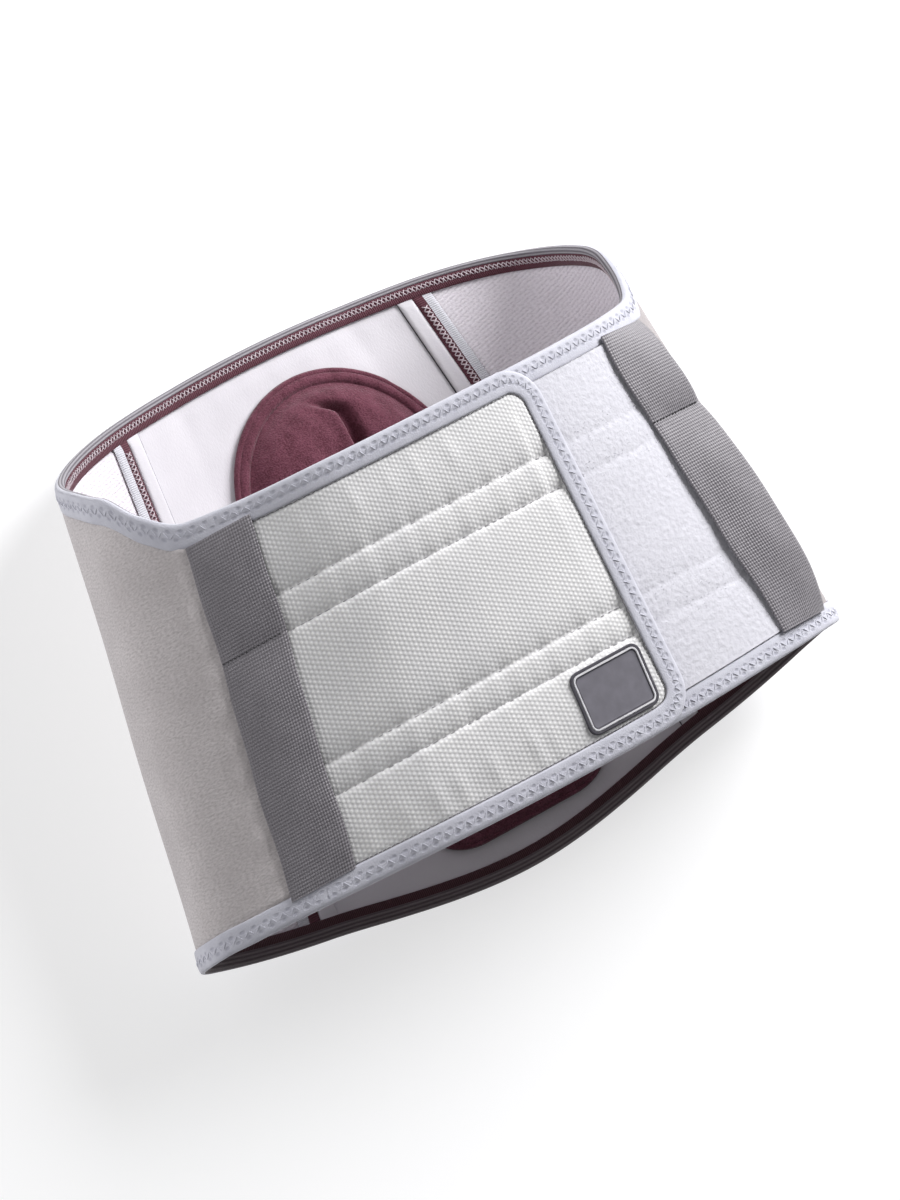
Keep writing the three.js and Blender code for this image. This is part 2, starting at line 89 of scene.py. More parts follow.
# Closure flap
FLAP_END_ANGLE = 17.2
FLAP_CORNER = 18.0
CORNER_SPARE = 0.4
CORNER_STEPS = 16
FLAP_LIFT = 5.8
LIFT_ANGLES = (-42.0, -22.0)
FLAP_LEVEL = (-89.0, 45.5)
FLAP_GRID = Values(step=1.8, corner_columns=24, level_rows=181, margin_rows=12)
FAR = 500.0
PILLOW = Values(height=0.8, reach=(10, 26))
CHANNEL_LINES = np.array([-67.5, -53.5, 6.0, 22.0])
CHANNEL_CREASE = Values(depth=1.6, above=2.6, below=1.0)
CHANNEL_DIP = Values(depth=0.75, reach=8.0)
CHANNEL_STITCH = Values(pitch=4.2, length=3.0, radius=0.26)
GATHERS = {
    "lower": dict(middle=-92.0, reach=10.0, height=0.7),
    "upper": dict(middle=42.0, reach=8.0, height=0.5),
}
GATHER_COUNT = 7
GATHER_SPAN = Values(from_strap=22, from_end=62)

PILE = 1.2
PILE_FORM = Values(step=1.0, rows=150, lumps=0.08, quilting=0.28, seat=0.1)
TUFTS = Values(count=1500, lean=1.2, length=(0.4, 0.8), width=0.22, root=0.3)

STRAP_WIDTH = 32.0
STRAP_TAPE = 1.5
STRAP_ROWS = 620
STRAP_HALF = np.array([0.1, 0.2, 0.3, 0.4, 0.47, 0.492, 0.5])
RIB_PITCH = 1.5
RIB_HEIGHT = 0.022
STRAPS = {
    "hand_strap_left": dict(
        upper=-47.8, lower=-48.3, base=GAP, stitch=7.0,
        upper_loop=1.5, lower_loop=2.5, outer_rise=0.0, flare=0.0,
    ),
    "hand_strap_right": dict(
        upper=43.6, lower=47.2, base=PILE + 2 * GAP, stitch=13.0,
        upper_loop=2.5, lower_loop=5.0, outer_rise=4.5, flare=1.5,
    ),
}
STRAP_STITCH = Values(pitch=2.0, length=1.3, radius=0.4)
RIDGE = Values(strap=-48.0, height=0.9, place=2.5, reach=2.8)

SEAM_TAPE_WIDTH = 11.0
STAY_WIDTH = 8.0
STRIP = Values(thickness=1.0, inset=6.5, columns=13, rows=120, flat_height=0.235)
SEAM_STITCH = Values(pitch=5.0, start=0.4, width=3.8, ends=(-107, 117), radius=0.36)
STAY_LINE = Values(beside=0.5, ends=(-118, 127), steps=120, seat=0.4, radius=0.45)

PAD = Values(
    centre_x=8.0, half_width=60.0, widest_y=50.0, top_y=116.0,
    side_pull=80.0, foot_y=-118.0, foot_half_width=52.0, foot_round=26.0,
)
PAD_SEAT = WALL + 0.5
PAD_CROWN = 15.0
PAD_SPINE = Values(from_foot=45, from_top=50)
PAD_BODY = Values(
    steps=120, voxel=2.5,
    insets=(2.5, 5.0, 7.5, 9.0, 12.0, 16.0, 22.0, 30.0, 40.0, 54.0),
    heights=(0.11, 0.11, 0.12, 0.22, 0.44, 0.62, 0.8, 0.92, 0.98, 1.0),
)
PAD_BORDER_STEPS = 260
STUFFING = Values(pressure=4.0, frames=20, cap=5.0, quality=5, sewn=2.5)
FOLD = Values(depth=19, lip=1.5, left=2.2, right=5, far_right=13, clear=(3, 9))

PATCH = Values(left=-0.5, right=39.5, lower=-99.8, upper=-70.0, corner=5.0)
PATCH_PROFILE = np.array([
    (0.0, 0.0), (0.0, 1.2), (0.35, 1.6), (1.3, 1.6), (1.45, 1.25), (1.6, 1.25), (1.7, 1.75),
    (2.35, 1.75), (2.45, 1.15), (3.2, 1.1), (6.0, 1.1),
])
PATCH_TONES = (2, 2, 2, 2, 1, 1, 1, 1, 2, 0)
PATCH_CORNER_STEPS = 10

FLOOR_SIZE = 20.0
FLOOR_LOOK = {
    "Base Color": (0.4, 0.4, 0.41, 1), "Roughness": 0.7,
    "Emission Color": (1, 1, 1, 1), "Emission Strength": 0.62,
}
SURROUND = {"To Min": 0.03, "To Max": 0.3, "From Min": -1, "From Max": 1}
LIGHTS = {
    "key": dict(direction=(0.77, 0.36, 0.54), distance=1.7, size=1.1, power=50),
    "fill": dict(direction=(-0.8, 0.12, 0.58), distance=2.5, size=2.0, power=13.5),
    "top": dict(direction=(-0.55, 0.75, 0.4), distance=2.0, size=1.6, power=8),
}
LIGHT_TARGET = (0, 0, 0.07)
CAMERA = Values(
    back=(-0.45435, -0.04148, 0.88986), up=(0.41358, 0.87492, 0.25195),
    target=(MIDDLE_X, 0, 70), distance=2.4479, below=0.01486,
    lens=161.39, sensor_width=36,
)

rng = np.random.default_rng(SEED)


# Loop surface

def smoothstep(value, low, high):
    t = np.clip((value - low) / (high - low), 0, 1)
    return t * t * (3 - 2 * t)


def spread(*values):
    """Coordinates of different shapes, broadcast and joined as points."""
    return np.stack(np.broadcast_arrays(*values), axis=-1)


def unit(vectors):
    return vectors / np.linalg.norm(vectors, axis=-1, keepdims=True)


def run_length(line):
    """Distance along a line of points, from its first."""
    return np.concatenate([[0], np.cumsum(np.linalg.norm(np.diff(line, axis=0), axis=1))])


def half_width_at(angle, y):
    turn = (angle + 180) % 360 - 180
    tucked = smoothstep(turn, *TUCK.rise) * (1 - smoothstep(turn, *TUCK.fall))
    share = TUCK.share + TUCK.slope * y
    return (HALF_WIDTH + HALF_WIDTH_SLOPE * y) * (1 - share * tucked)


def section(angle, y):
    cosine = np.cos(np.radians(angle))
    power = np.where(cosine > 0, FRONT_POWER, BACK_POWER)
    reach = np.sqrt(np.maximum(0, 1 - np.abs(cosine) ** power))
    x = half_width_at(angle, y) * reach * np.sign(np.sin(np.radians(angle)))
    height = LOOP_DEPTH + LOOP_DEPTH_SLOPE * y + PRESSED_FLAT
    return x, np.maximum(0, height / 2 * (1 + cosine) - PRESSED_FLAT)


def section_tangent(angle, y):
    return np.subtract(section(angle + TANGENT_REACH, y), section(angle - TANGENT_REACH, y))


def loop_point(angle, y, depth):
    tangent_x, tangent_z = section_tangent(angle, y)
    length = np.hypot(tangent_x, tangent_z)
    x, z = section(angle, y)
    return spread(MIDDLE_X + x + depth * tangent_z / length, y, z - depth * tangent_x / length)


def angle_beside(angle, y, distance):
    return angle + distance / np.hypot(*section_tangent(angle, y))


FINE_ANGLES = np.linspace(-180, 540, 2881)
FINE_ARC = run_length(np.transpose(section(FINE_ANGLES, 0.0)))
FLAP_STRAIGHT_END = angle_beside(FLAP_END_ANGLE, 0.0, -FLAP_CORNER)


def arc_at(angle):
    """Distance round the loop at half height."""
    return np.interp(angle, FINE_ANGLES, FINE_ARC)


def angle_at(arc):
    return np.interp(arc, FINE_ARC, FINE_ANGLES)


def angles_between(start, end, step):
    first, last = arc_at(start), arc_at(end)
    return angle_at(np.linspace(first, last, max(2, round((last - first) / step) + 1)))


def edge_height(edge, angle):
    rows = EDGE_HEIGHTS[edge]
    turn = np.abs((np.asarray(angle, float) + 180) % 360 - 180)
    after = np.clip(np.searchsorted(EDGE_ANGLES, turn), 1, len(rows) - 1)
    slopes = np.zeros(len(rows))
    slopes[1:-1] = (rows[2:] - rows[:-2]) / (EDGE_ANGLES[2:] - EDGE_ANGLES[:-2])
    span = EDGE_ANGLES[after] - EDGE_ANGLES[after - 1]
    t = (turn - EDGE_ANGLES[after - 1]) / span
    blend = t * t * (3 - 2 * t)
    leave = t * (1 - t) ** 2 * span * slopes[after - 1]
    arrive = t * t * (t - 1) * span * slopes[after]
    return rows[after - 1] * (1 - blend) + rows[after] * blend + leave + arrive


def inward(edge):
    return -1 if edge == "upper" else 1


def edge_stretch(edge, angle):
    """How much longer a sloping edge is than the loop beside it."""
    ahead, behind = angle + STRETCH_REACH, angle - STRETCH_REACH
    climb = edge_height(edge, ahead) - edge_height(edge, behind)
    run = np.hypot(*np.subtract(section(ahead, 0.0), section(behind, 0.0)))
    return np.minimum(MAX_STRETCH, np.hypot(1, climb / run))


def inset_height(edge, angle, inset):
    return edge_height(edge, angle) + inward(edge) * inset * edge_stretch(edge, angle)


def edge_heights(angle, inset=0.0):
    """Heights of the lower and the upper edge, both moved in."""
    return [inset_height(edge, angle, inset) for edge in EDGES]


def from_edges(angle, y):
    low, high = edge_heights(angle)
    return np.minimum(y - low, high - y)


def flap_lift(angle):
    on_flap = np.asarray(angle) <= FLAP_END_ANGLE + 1
    return np.where(on_flap, FLAP_LIFT * smoothstep(angle, *LIFT_ANGLES), 0)


# Meshes

def signed_volume(points, faces):
    """Six times the volume that the faces enclose; negative when they face inward."""
    fans = [(face[0], *pair) for face in faces for pair in zip(face[1:], face[2:])]
    first, second, third = np.moveaxis(points[np.array(fans)], 1, 0)
    return (first * np.cross(second, third)).sum()


def add_object(name, data):
    made = bpy.data.objects.new(name, data)
    bpy.context.scene.collection.objects.link(made)
    return made


def set_inputs(inputs, values):
    for name, value in values.items():
        inputs[name].default_value = value


def set_smooth(mesh):
    mesh.polygons.foreach_set("use_smooth", np.ones(len(mesh.polygons), bool))


def add_piece(name, points, faces, cloth, materials, face_slots=None, sharp=50):
    """A closed mesh in the frame, from points in millimetres. Its faces are turned outward, and no
    point lies below the floor."""
    points = np.c_[points[:, :2], np.maximum(points[:, 2], 0)]
    volume = signed_volume(points, faces)
    turned = [list(face) if volume > 0 else list(face)[::-1] for face in faces]
    mesh = bpy.data.meshes.new(name)
    mesh.from_pydata((points * MM).tolist(), [], turned)
    for material in materials:
        mesh.materials.append(material)
    if face_slots is not None:
        mesh.polygons.foreach_set("material_index", np.asarray(face_slots, np.int32))
    place = mesh.attributes.new("cloth", "FLOAT_VECTOR", "POINT")
    place.data.foreach_set("vector", np.asarray(cloth, np.float32).ravel())
    set_smooth(mesh)
    mesh.set_sharp_from_angle(angle=np.radians(sharp))
    mesh.update()
    return add_object(f"{name}_visual", mesh)


def settle(piece, slot, *nodes):
    """The piece rides on the brace and stands for CAD nodes, which it hides. Its slot is not used."""
    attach(piece, "root")
    if nodes:
        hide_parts(*nodes)


def add_wall(name, outer, inner, cloth, materials, column_slots=None):
    """A closed wall between two sheets of points in columns and rows. The last material is inside,
    or each column of faces has its own."""
    columns, rows = outer.shape[:2]
    sheet = columns * rows
    place = np.arange(sheet).reshape(columns, rows)
    front = spread(place[:-1, :-1], place[1:, :-1], place[1:, 1:], place[:-1, 1:]).reshape(-1, 4)
    back = front[:, ::-1] + sheet
    border = np.concatenate([place[:-1, 0], place[-1, :-1], place[:0:-1, -1], place[0, :0:-1]])
    after = np.roll(border, -1)
    rim = spread(border, border + sheet, after + sheet, after)
    points = np.concatenate([outer.reshape(-1, 3), inner.reshape(-1, 3)])
    flat = cloth.reshape(-1, 2)
    both = np.concatenate([np.c_[flat, np.full(sheet, side)] for side in (0.0, 50.0)])
    if column_slots is None:
        inside = np.full(len(back), len(materials) - 1)
    else:
        inside = np.repeat(column_slots, rows - 1)
    slots = np.concatenate([np.zeros(len(front)), inside, np.zeros(len(rim))])
    return add_piece(name, points, np.concatenate([front, back, rim]), both, materials, slots)


def loft_faces(count, sides):
    """Faces of a tube through rings of points, capped at both ends."""
    index = np.arange(count * sides).reshape(count, sides)
    beside = np.roll(index, -1, axis=1)
    quads = spread(index[:-1], beside[:-1], beside[1:], index[1:]).reshape(-1, 4)
    return [*quads.tolist(), index[0][::-1].tolist(), index[-1].tolist()]


def add_threads(name, points_at, radius, material, slot, outward=-1):
    """Many short sewing threads as one mesh, each a closed tapered tube. points_at gives the points
    along every thread, moved in by a depth. Threads that the floor presses flat are left out."""
    paths = points_at(0.0)
    out = (points_at(outward) - paths).mean(axis=1)
    off_floor = np.linalg.norm(out, axis=1) > THREAD.least_reach
    paths, out = paths[off_floor], out[off_floor]
    count, steps = paths.shape[:2]
    sides = THREAD.sides
    along = unit(np.gradient(paths, axis=1))
    across = unit(np.cross(along, out[:, None, :]))
    up = np.cross(across, along)
    taper = np.sin(np.linspace(THREAD.blunt, np.pi - THREAD.blunt, steps)) ** 0.5 * radius
    turn = np.linspace(0, 2 * np.pi, sides, endpoint=False)[:, None]
    ring = across[:, :, None] * np.cos(turn) + up[:, :, None] * np.sin(turn)
    points = paths[:, :, None] + taper[None, :, None, None] * ring
    index = np.arange(count * steps * sides).reshape(count, steps, sides)
    beside = np.roll(index, -1, axis=2)
    faces = spread(index[:, :-1], index[:, 1:], beside[:, 1:], beside[:, :-1]).reshape(-1, 4)
    caps = index[:, 0].tolist() + index[:, -1, ::-1].tolist()
    cloth = np.zeros((count, steps, sides, 3))
    cloth[..., 0] = np.arange(count * steps).reshape(count, steps, 1)
    faces = faces.tolist() + caps
    settle(add_piece(name, points.reshape(-1, 3), faces, cloth.reshape(-1, 3), [material]), slot)


# Materials

def srgb(code):
    """A linear colour from a hex code."""
    values = np.array([int(code[k:k + 2], 16) for k in (0, 2, 4)]) / 255
    linear = np.where(values <= 0.04045, values / 12.92, ((values + 0.055) / 1.055) ** 2.4)
    return (*linear.tolist(), 1.0)


class Graph:
    """Builds one material's nodes. A value is a number, a hex code, a colour or a node's socket."""

    def __init__(self, name, roughness, sheen=0.0, sheen_roughness=0.5, specular=0.3):
        self.material = bpy.data.materials.new(name)
        self.material.use_nodes = True
        self.tree = self.material.node_tree
        self.inputs = self.tree.nodes["Principled BSDF"].inputs
        set_inputs(self.inputs, {
            "Roughness": roughness, "Specular IOR Level": specular,
            "Sheen Weight": sheen, "Sheen Roughness": sheen_roughness,
        })
        place = self.node("ShaderNodeAttribute", {"attribute_name": "cloth"})
        self.cloth = place.outputs["Vector"]
        parts = self.node("ShaderNodeSeparateXYZ", Vector=self.cloth)
        self.along, self.up = parts.outputs["X"], parts.outputs["Y"]

    def put(self, socket, value):
        if isinstance(value, bpy.types.NodeSocket):
            self.tree.links.new(value, socket)
        else:
            socket.default_value = srgb(value) if isinstance(value, str) else value

    def node(self, kind, settings=None, **inputs):
        made = self.tree.nodes.new(kind)
        for name, value in (settings or {}).items():
            setattr(made, name, value)
        for name, value in inputs.items():
            self.put(made.inputs[name.replace("_", " ")], value)
        return made

    def math(self, operation, *values):
        made = self.node("ShaderNodeMath", {"operation": operation})
        for socket, value in zip(made.inputs, values):
            self.put(socket, value)
        return made.outputs[0]

    def times(self, value, factor):
        return self.math("MULTIPLY", value, factor)

    def total(self, *terms):
        return reduce(lambda sum_so_far, term: self.math("ADD", sum_so_far, term), terms)

    def wave(self, period, across):
        """A cosine with that period over a coordinate."""
        return self.math("COSINE", self.times(across, 2 * np.pi / period))

    def noise(self, size, detail=2.0, stretch=(1, 1, 1)):
        vector = self.node("ShaderNodeVectorMath", {"operation": "MULTIPLY"})
        self.put(vector.inputs[0], self.cloth)
        self.put(vector.inputs[1], stretch)
        made = self.node("ShaderNodeTexNoise", Vector=vector.outputs[0], Scale=1 / size, Detail=detail)
        return made.outputs["Fac"]

    def clamp(self, value, low, high):
        made = self.node("ShaderNodeMapRange", Value=value, From_Min=low, From_Max=high)
        return made.outputs["Result"]

    def mottle(self, size):
        return self.clamp(self.noise(size), 0.3, 0.7)

    def mix(self, factor, first, second):
        made = self.node("ShaderNodeMix", {"data_type": "RGBA"}, Factor=factor)
        self.put(made.inputs[6], first)
        self.put(made.inputs[7], second)
        return made.outputs[2]

    def finish(self, colour, height, depth):
        """Links the colour, and a bump whose height of 1 stands for that depth in millimetres."""
        self.put(self.inputs["Base Color"], colour)
        bump = self.node("ShaderNodeBump", Height=height, Strength=1.0, Distance=depth * MM)
        self.put(self.inputs["Normal"], bump.outputs["Normal"])
        return self.material


def weave_material():
    """Coarse dotted weave: raised dots on a lattice of equal triangles."""
    graph = Graph("flap_weave", roughness=0.85, sheen=0.1, specular=0.2)
    period, lean = 1.95, np.sqrt(3) / 2
    half = graph.times(graph.along, 0.5)
    leaning = [graph.total(half, graph.times(graph.up, slope)) for slope in (lean, -lean)]
    dots = graph.total(*[graph.wave(period, line) for line in (graph.along, *leaning)])
    raised = graph.clamp(dots, -1.3, 2.4)
    slubs = graph.noise(4.5, stretch=(1, 0.06, 1))
    soiled = graph.clamp(graph.total(graph.noise(28), slubs), 0.75, 1.25)
    colour = graph.mix(raised, "d2d1d3", graph.mix(soiled, "eeedec", "dfdfe0"))
    fuzz = graph.times(graph.noise(0.5), 0.3)
    return graph.finish(colour, graph.total(raised, fuzz), 0.19)


def knit_material(name, dark, light, fleck, ribbed):
    """Fine flecked elastic knit, with narrow slanted ribs round the loop."""
    graph = Graph(name, roughness=0.9, sheen=0.2, specular=0.15)
    ribs = graph.wave(1.9, graph.total(graph.up, graph.times(graph.along, 0.22)))
    grain = graph.noise(1.0, detail=3.0, stretch=(0.6, 1.2, 1))
    colour = graph.mix(graph.mottle(22), dark, light)
    flecks = graph.clamp(graph.total(grain, graph.times(ribs, 0.1 * ribbed)), 0.62, 0.22)
    height = graph.total(graph.times(ribs, 0.3 * ribbed), graph.times(grain, 2.0))
    return graph.finish(graph.mix(flecks, colour, fleck), height, 0.14)


def lining_material():
    """Smooth pale lining with a faint grain."""
    graph = Graph("lining_cloth", roughness=0.8, sheen=0.15, specular=0.2)
    grain = graph.noise(0.8, stretch=(1, 0.5, 1))
    return graph.finish(graph.mix(graph.mottle(35), "cecbd1", "d6d3d9"), grain, 0.12)


def pile_material():
    """Fuzzy loop pile."""
    graph = Graph("pile_loops", roughness=1.0, sheen=0.25, specular=0.1)
    curls = graph.noise(2.2, detail=4.0)
    shade = graph.clamp(graph.total(curls, graph.times(graph.noise(7), 0.4)), 0.4, 0.95)
    return graph.finish(graph.mix(shade, "c8c7cf", "d5d4dc"), curls, 0.4)


def webbing_material():
    """Webbing with fine ribs across the strap, crossed by yarns."""
    graph = Graph("webbing_ribs", roughness=0.52, sheen=0.5, sheen_roughness=0.4, specular=0.7)
    ribs = graph.wave(RIB_PITCH, graph.up)
    yarns = graph.wave(1.2, graph.along)
    base = graph.mix(graph.mottle(14), "757177", "807c82")
    groove = graph.clamp(graph.total(ribs, yarns), 0.4, -1.9)
    colour = graph.mix(graph.times(groove, 0.5), base, "514c52")
    height = graph.total(graph.times(ribs, 0.7), yarns, graph.noise(0.5))
    return graph.finish(colour, height, 0.07)


def binding_material():
    """Soft felted edging tape, dimpled where its zigzag is sewn, with painted shade in the dimples."""
    graph = Graph("binding_tape", roughness=0.9, sheen=0.3, specular=0.15)
    felt = graph.noise(0.9, detail=3.0)
    base = graph.mix(graph.mottle(9), "bcbcc7", "c8c8d2")
    turns = graph.math("DIVIDE", graph.along, STITCH.pitch)
    holes = []
    for row, phase in ((STITCH.low, 0.5), (STITCH.high, 1.0)):
        beside = graph.math("SUBTRACT", graph.math("FRACT", graph.total(turns, phase)), 0.5)
        near = graph.math("POWER", graph.times(beside, STITCH.pitch / STITCH.hole), 2.0)
        down = graph.math("POWER", graph.math("SUBTRACT", graph.up, row), 2.0)
        holes.append(graph.clamp(graph.total(near, down), 0.9, 0.05))
    dimple = graph.math("MAXIMUM", *holes)
    # The dimples are painted darker as well as sunk: painted shade in the stitch holes.
    colour = graph.mix(graph.times(dimple, 0.5), base, "9292a1")
    height = graph.total(graph.times(felt, 0.6), graph.times(dimple, -0.6))
    return graph.finish(colour, height, 0.35)


def tape_material(name, dark, light, lengthwise=False):
    """Finely ribbed flat tape, its ribs across or along it."""
    graph = Graph(name, roughness=0.8, sheen=0.15, specular=0.2)
    ribs = graph.wave(1.7, graph.up) if lengthwise else graph.wave(1.0, graph.along)
    grain = graph.noise(0.6)
    colour = graph.mix(graph.clamp(graph.total(ribs, grain), -0.5, 1.6), dark, light)
    return graph.finish(colour, graph.total(graph.times(ribs, 0.5), grain), 0.15)


def velour_material():
    """Short-napped velour, brushed lighter in places."""
    graph = Graph("velour_nap", roughness=1.0, sheen=0.3, sheen_roughness=0.45, specular=0.1)
    nap = graph.noise(0.8, detail=3.0)
    brushed = graph.noise(7, detail=3.0, stretch=(1, 0.6, 1))
    shade = graph.clamp(graph.total(nap, graph.times(brushed, 0.6)), 0.55, 1.05)
    height = graph.total(nap, graph.times(brushed, 0.8))
    return graph.finish(graph.mix(shade, "4d2732", "744453"), height, 0.5)


def rubber_material(name, code, roughness):
    """Moulded rubber with a fine grain, worn lighter in places."""
    graph = Graph(name, roughness=roughness, specular=0.3)
    worn = graph.clamp(graph.noise(6), 0.35, 0.7)
    base = srgb(code)
    lighter = (*(min(1, 1.18 * channel) for channel in base[:3]), 1.0)
    return graph.finish(graph.mix(worn, base, lighter), graph.noise(0.35), 0.05)


def thread_material(name, dark, light):
    """Twisted sewing thread."""
    graph = Graph(name, roughness=0.6, sheen=0.2, specular=0.35)
    twist = graph.noise(0.8)
    return graph.finish(graph.mix(twist, dark, light), twist, 0.05)


weave = weave_material()
knit = knit_material("side_knit", "c5bfc0", "cfc9ca", "aaa4a5", ribbed=0.25)
# The right side panel's knit is painted darker than the same knit on the left: painted shade that
# holds back the strong light on that side.
shaded_right_knit = knit_material("shaded_right_side_knit", "a39d9e", "ada7a8", "8e8889", ribbed=0.25)
inner_knit = knit_material("inner_knit", "e8e3ea", "f0ebf2", "c9c2cb", ribbed=1.0)
lining = lining_material()
pile = pile_material()
webbing = webbing_material()
binding = binding_material()
upper_fold = tape_material("upper_fold", "645f66", "a6a3a9", lengthwise=True)
# The lower rim's fold and facing are darker copies of the upper ones: painted shade for the rim that
# faces away from the light.
shaded_lower_fold = tape_material("shaded_lower_fold", "50474a", "736a6d", lengthwise=True)
burgundy = tape_material("burgundy_tape", "4a2630", "673f4a")
shaded_burgundy = tape_material("shaded_burgundy", "3a2026", "50343a")
grey_tape = tape_material("grey_tape", "bfbfc7", "d5d5dc")
velour = velour_material()
rubber = rubber_material("patch_rubber", "6e6c74", 0.65)
edge_rubber = rubber_material("patch_edge_rubber", "4b4950", 0.65)
rim_rubber = rubber_material("patch_rim_rubber", "d6d5d9", 0.5)
pale_thread = thread_material("pale_thread", "c3bfc8", "e6e4ea")
# Thread of the quilting, painted grey: painted shade of the creases it is sewn in.
channel_thread_and_shade = thread_material("channel_thread_and_shade", "87868a", "a9a8ab")
chain_thread = thread_material("chain_thread", "ad9da5", "d6cad0")
# Dark thread for the line round the flap's binding: partly a real stitch line, partly painted shadow
# under the binding's edge.
edge_thread_and_shadow = thread_material("edge_thread_and_shadow", "5c5a5f", "7d7b80")
binding_thread = thread_material("binding_thread", "bdbdc9", "d0d0da")
# Dark thread: the strap stitches, and also the painted shadow line beside the right stay.
dark_thread_and_shadow = thread_material("dark_thread_and_shadow", "2c2a2e", "48454b")


# Tracks: stations along an edge, each a row of its angle, its height, the way in from the edge as
# angle and height for each millimetre, and its lift

def edge_track(edge, angle):
    y_in = inward(edge) * edge_stretch(edge, angle)
    return spread(angle, edge_height(edge, angle), 0.0, y_in, 0.0)


def flap_track():
    """Round the flap's free outline: along the top, down the free end and back along the bottom."""
    straight = angles_between(-STRAP_ANGLE, FLAP_STRAIGHT_END, TRACK_STEP)
    turn = np.linspace(0, np.pi / 2, CORNER_STEPS)[1:]
    halves = {}
    for edge in EDGES:
        y = edge_height(edge, FLAP_END_ANGLE) + inward(edge) * FLAP_CORNER * (1 - np.cos(turn))
        per_mm = 1 / np.hypot(*section_tangent(FLAP_END_ANGLE, y))
        angle = FLAP_END_ANGLE - FLAP_CORNER * (1 - np.sin(turn)) * per_mm
        corner = spread(angle, y, -np.sin(turn) * per_mm, inward(edge) * np.cos(turn), 0.0)
        halves[edge] = np.concatenate([edge_track(edge, straight), corner])
    bottom, top = (halves[edge][-1, 1] for edge in EDGES)
    y = np.linspace(top, bottom, round((top - bottom) / TRACK_STEP))[1:-1]
    turn_in = -1 / np.hypot(*section_tangent(FLAP_END_ANGLE, y))
    end = spread(FLAP_END_ANGLE, y, turn_in, 0.0, 0.0)
    track = np.concatenate([halves["upper"], end, halves["lower"][::-1]])
    track[:, -1] = flap_lift(track[:, 0])
    return track


def track_points(track, inset, depth):
    """Points at insets and depths on every station, kept off the floor where the wall lies on it."""
    angle, y, turn_in, y_in, lift = track.T[:, :, None]
    angle, y = angle + turn_in * inset, y + y_in * inset
    clear = smoothstep(section(angle, y)[1], 0, FLOOR_CLEAR)
    return loop_point(angle, y, np.where(depth < 0, depth * clear, depth) - lift)


def track_length(track):
    return run_length(track_points(track, np.zeros(1), np.zeros(1))[:, 0])


def track_at(track, places):
    """The same track with stations at other distances along it."""
    length = track_length(track)
    return spread(*[np.interp(places, length, column) for column in track.T])


def binding_section(leg):
    """The folded tape: outer leg, fold, a back leg of that length and the inside of the fold."""
    return np.array([
        (9.9, 0.15), (10.2, -0.2), (9.95, -0.55), (9.2, -0.75), (7.6, -0.85), (6.0, -0.75),
        (4.4, -0.8), (2.8, -0.85), (1.4, -0.75), (0.4, -0.35), (-0.15, 0.4), (-0.3, 1.5),
        (-0.15, 2.6), (0.35, 3.6), (1.1, 4.1), (leg - 1.1, 4.25), (leg - 0.4, 4.2), (leg, 3.95),
        (leg - 0.2, 3.65), (2.0, 3.35), (1.2, 3.0), (0.9, 1.7), (1.2, 0.5), (3.0, 0.2), (6.5, 0.15),
    ])


def facing_section(leg):
    """The flat tape inside, from under the binding's back leg inwards."""
    return np.array([
        (0.9, 3.3), (leg - 0.2, 3.75), (leg + 0.3, 4.1), (7.0, 4.35), (8.8, 4.2), (9.3, 3.8),
        (8.8, 3.35), (5.0, 3.2), (2.0, 3.1),
    ])


def add_tape(name, track, outline, materials, slot):
    """A tape along a track. Its second material, if any, is on the inner half of the fold."""
    inset, depth = outline.T
    length = track_length(track)
    pull = STITCH.pull * np.cos(2 * np.pi * length / STITCH.pitch)[:, None]
    from_row = np.abs(inset - (STITCH.low + STITCH.high) / 2)
    sewn = (from_row < STITCH.reach) & (depth < 0)
    points = track_points(track, inset, depth + pull * sewn)
    across = np.where(depth < OUTER_LEG_DEPTH, inset, -run_length(outline))
    cloth = spread(length[:, None], across, 0.0)
    stations, sides = points.shape[:2]
    side_slots = [int(len(materials) > 1 and side in FOLD_SIDES) for side in range(sides)]
    slots = [*np.tile(side_slots, stations - 1), 0, 0]
    faces = loft_faces(stations, sides)
    piece = add_piece(name, points.reshape(-1, 3), faces, cloth.reshape(-1, 3), materials, slots)
    settle(piece, slot, name)


def add_zigzag(name, tracks, low, high, depth, pitch, radius, material, slot,
               outward=-1, crossed=False):
    """Zigzag stitches along tracks, or two crossed ones, that dive into the cloth at both ends."""
    bow = outward * np.array([-0.35, radius * 0.7, radius, radius * 0.7, -0.35])
    share = np.linspace(0, 1, len(bow))
    rows = []
    for track in tracks:
        starts = np.arange(pitch / 2, track_length(track)[-1] - pitch, pitch / 2)
        stations = track_at(track, (starts[:, None] + share * pitch / 2).ravel())
        levels = np.tile(depth + bow, len(starts))[:, None]
        rising = np.arange(len(starts))[:, None] % 2 == 0
        for first in ((rising, ~rising) if crossed else (rising,)):
            uneven = rng.uniform(-THREAD.uneven, THREAD.uneven, (2, len(starts), 1))
            start = np.where(first, low, high) + uneven[0] * (high - low)
            end = np.where(first, high, low) + uneven[1] * (high - low)
            inset = start + share * (end - start)
            rows.append((stations, inset.reshape(-1, 1), levels))

    def points_at(further):
        points = [track_points(at, inset, level + further) for at, inset, level in rows]
        return np.concatenate(points).reshape(-1, len(bow), 3)

    add_threads(name, points_at, radius, material, slot, outward)


# Panels

def level(angle, y):
    """No relief."""
    return 0.0


def soft_waves(angle, y):
    """Slight unevenness of a cloth wall."""
    arc = arc_at(angle)
    broad = 0.35 * np.sin(arc / 19 + y / 47) * np.sin(y / 31 + 1)
    return broad + 0.2 * np.sin(arc / 9 - y / 23)


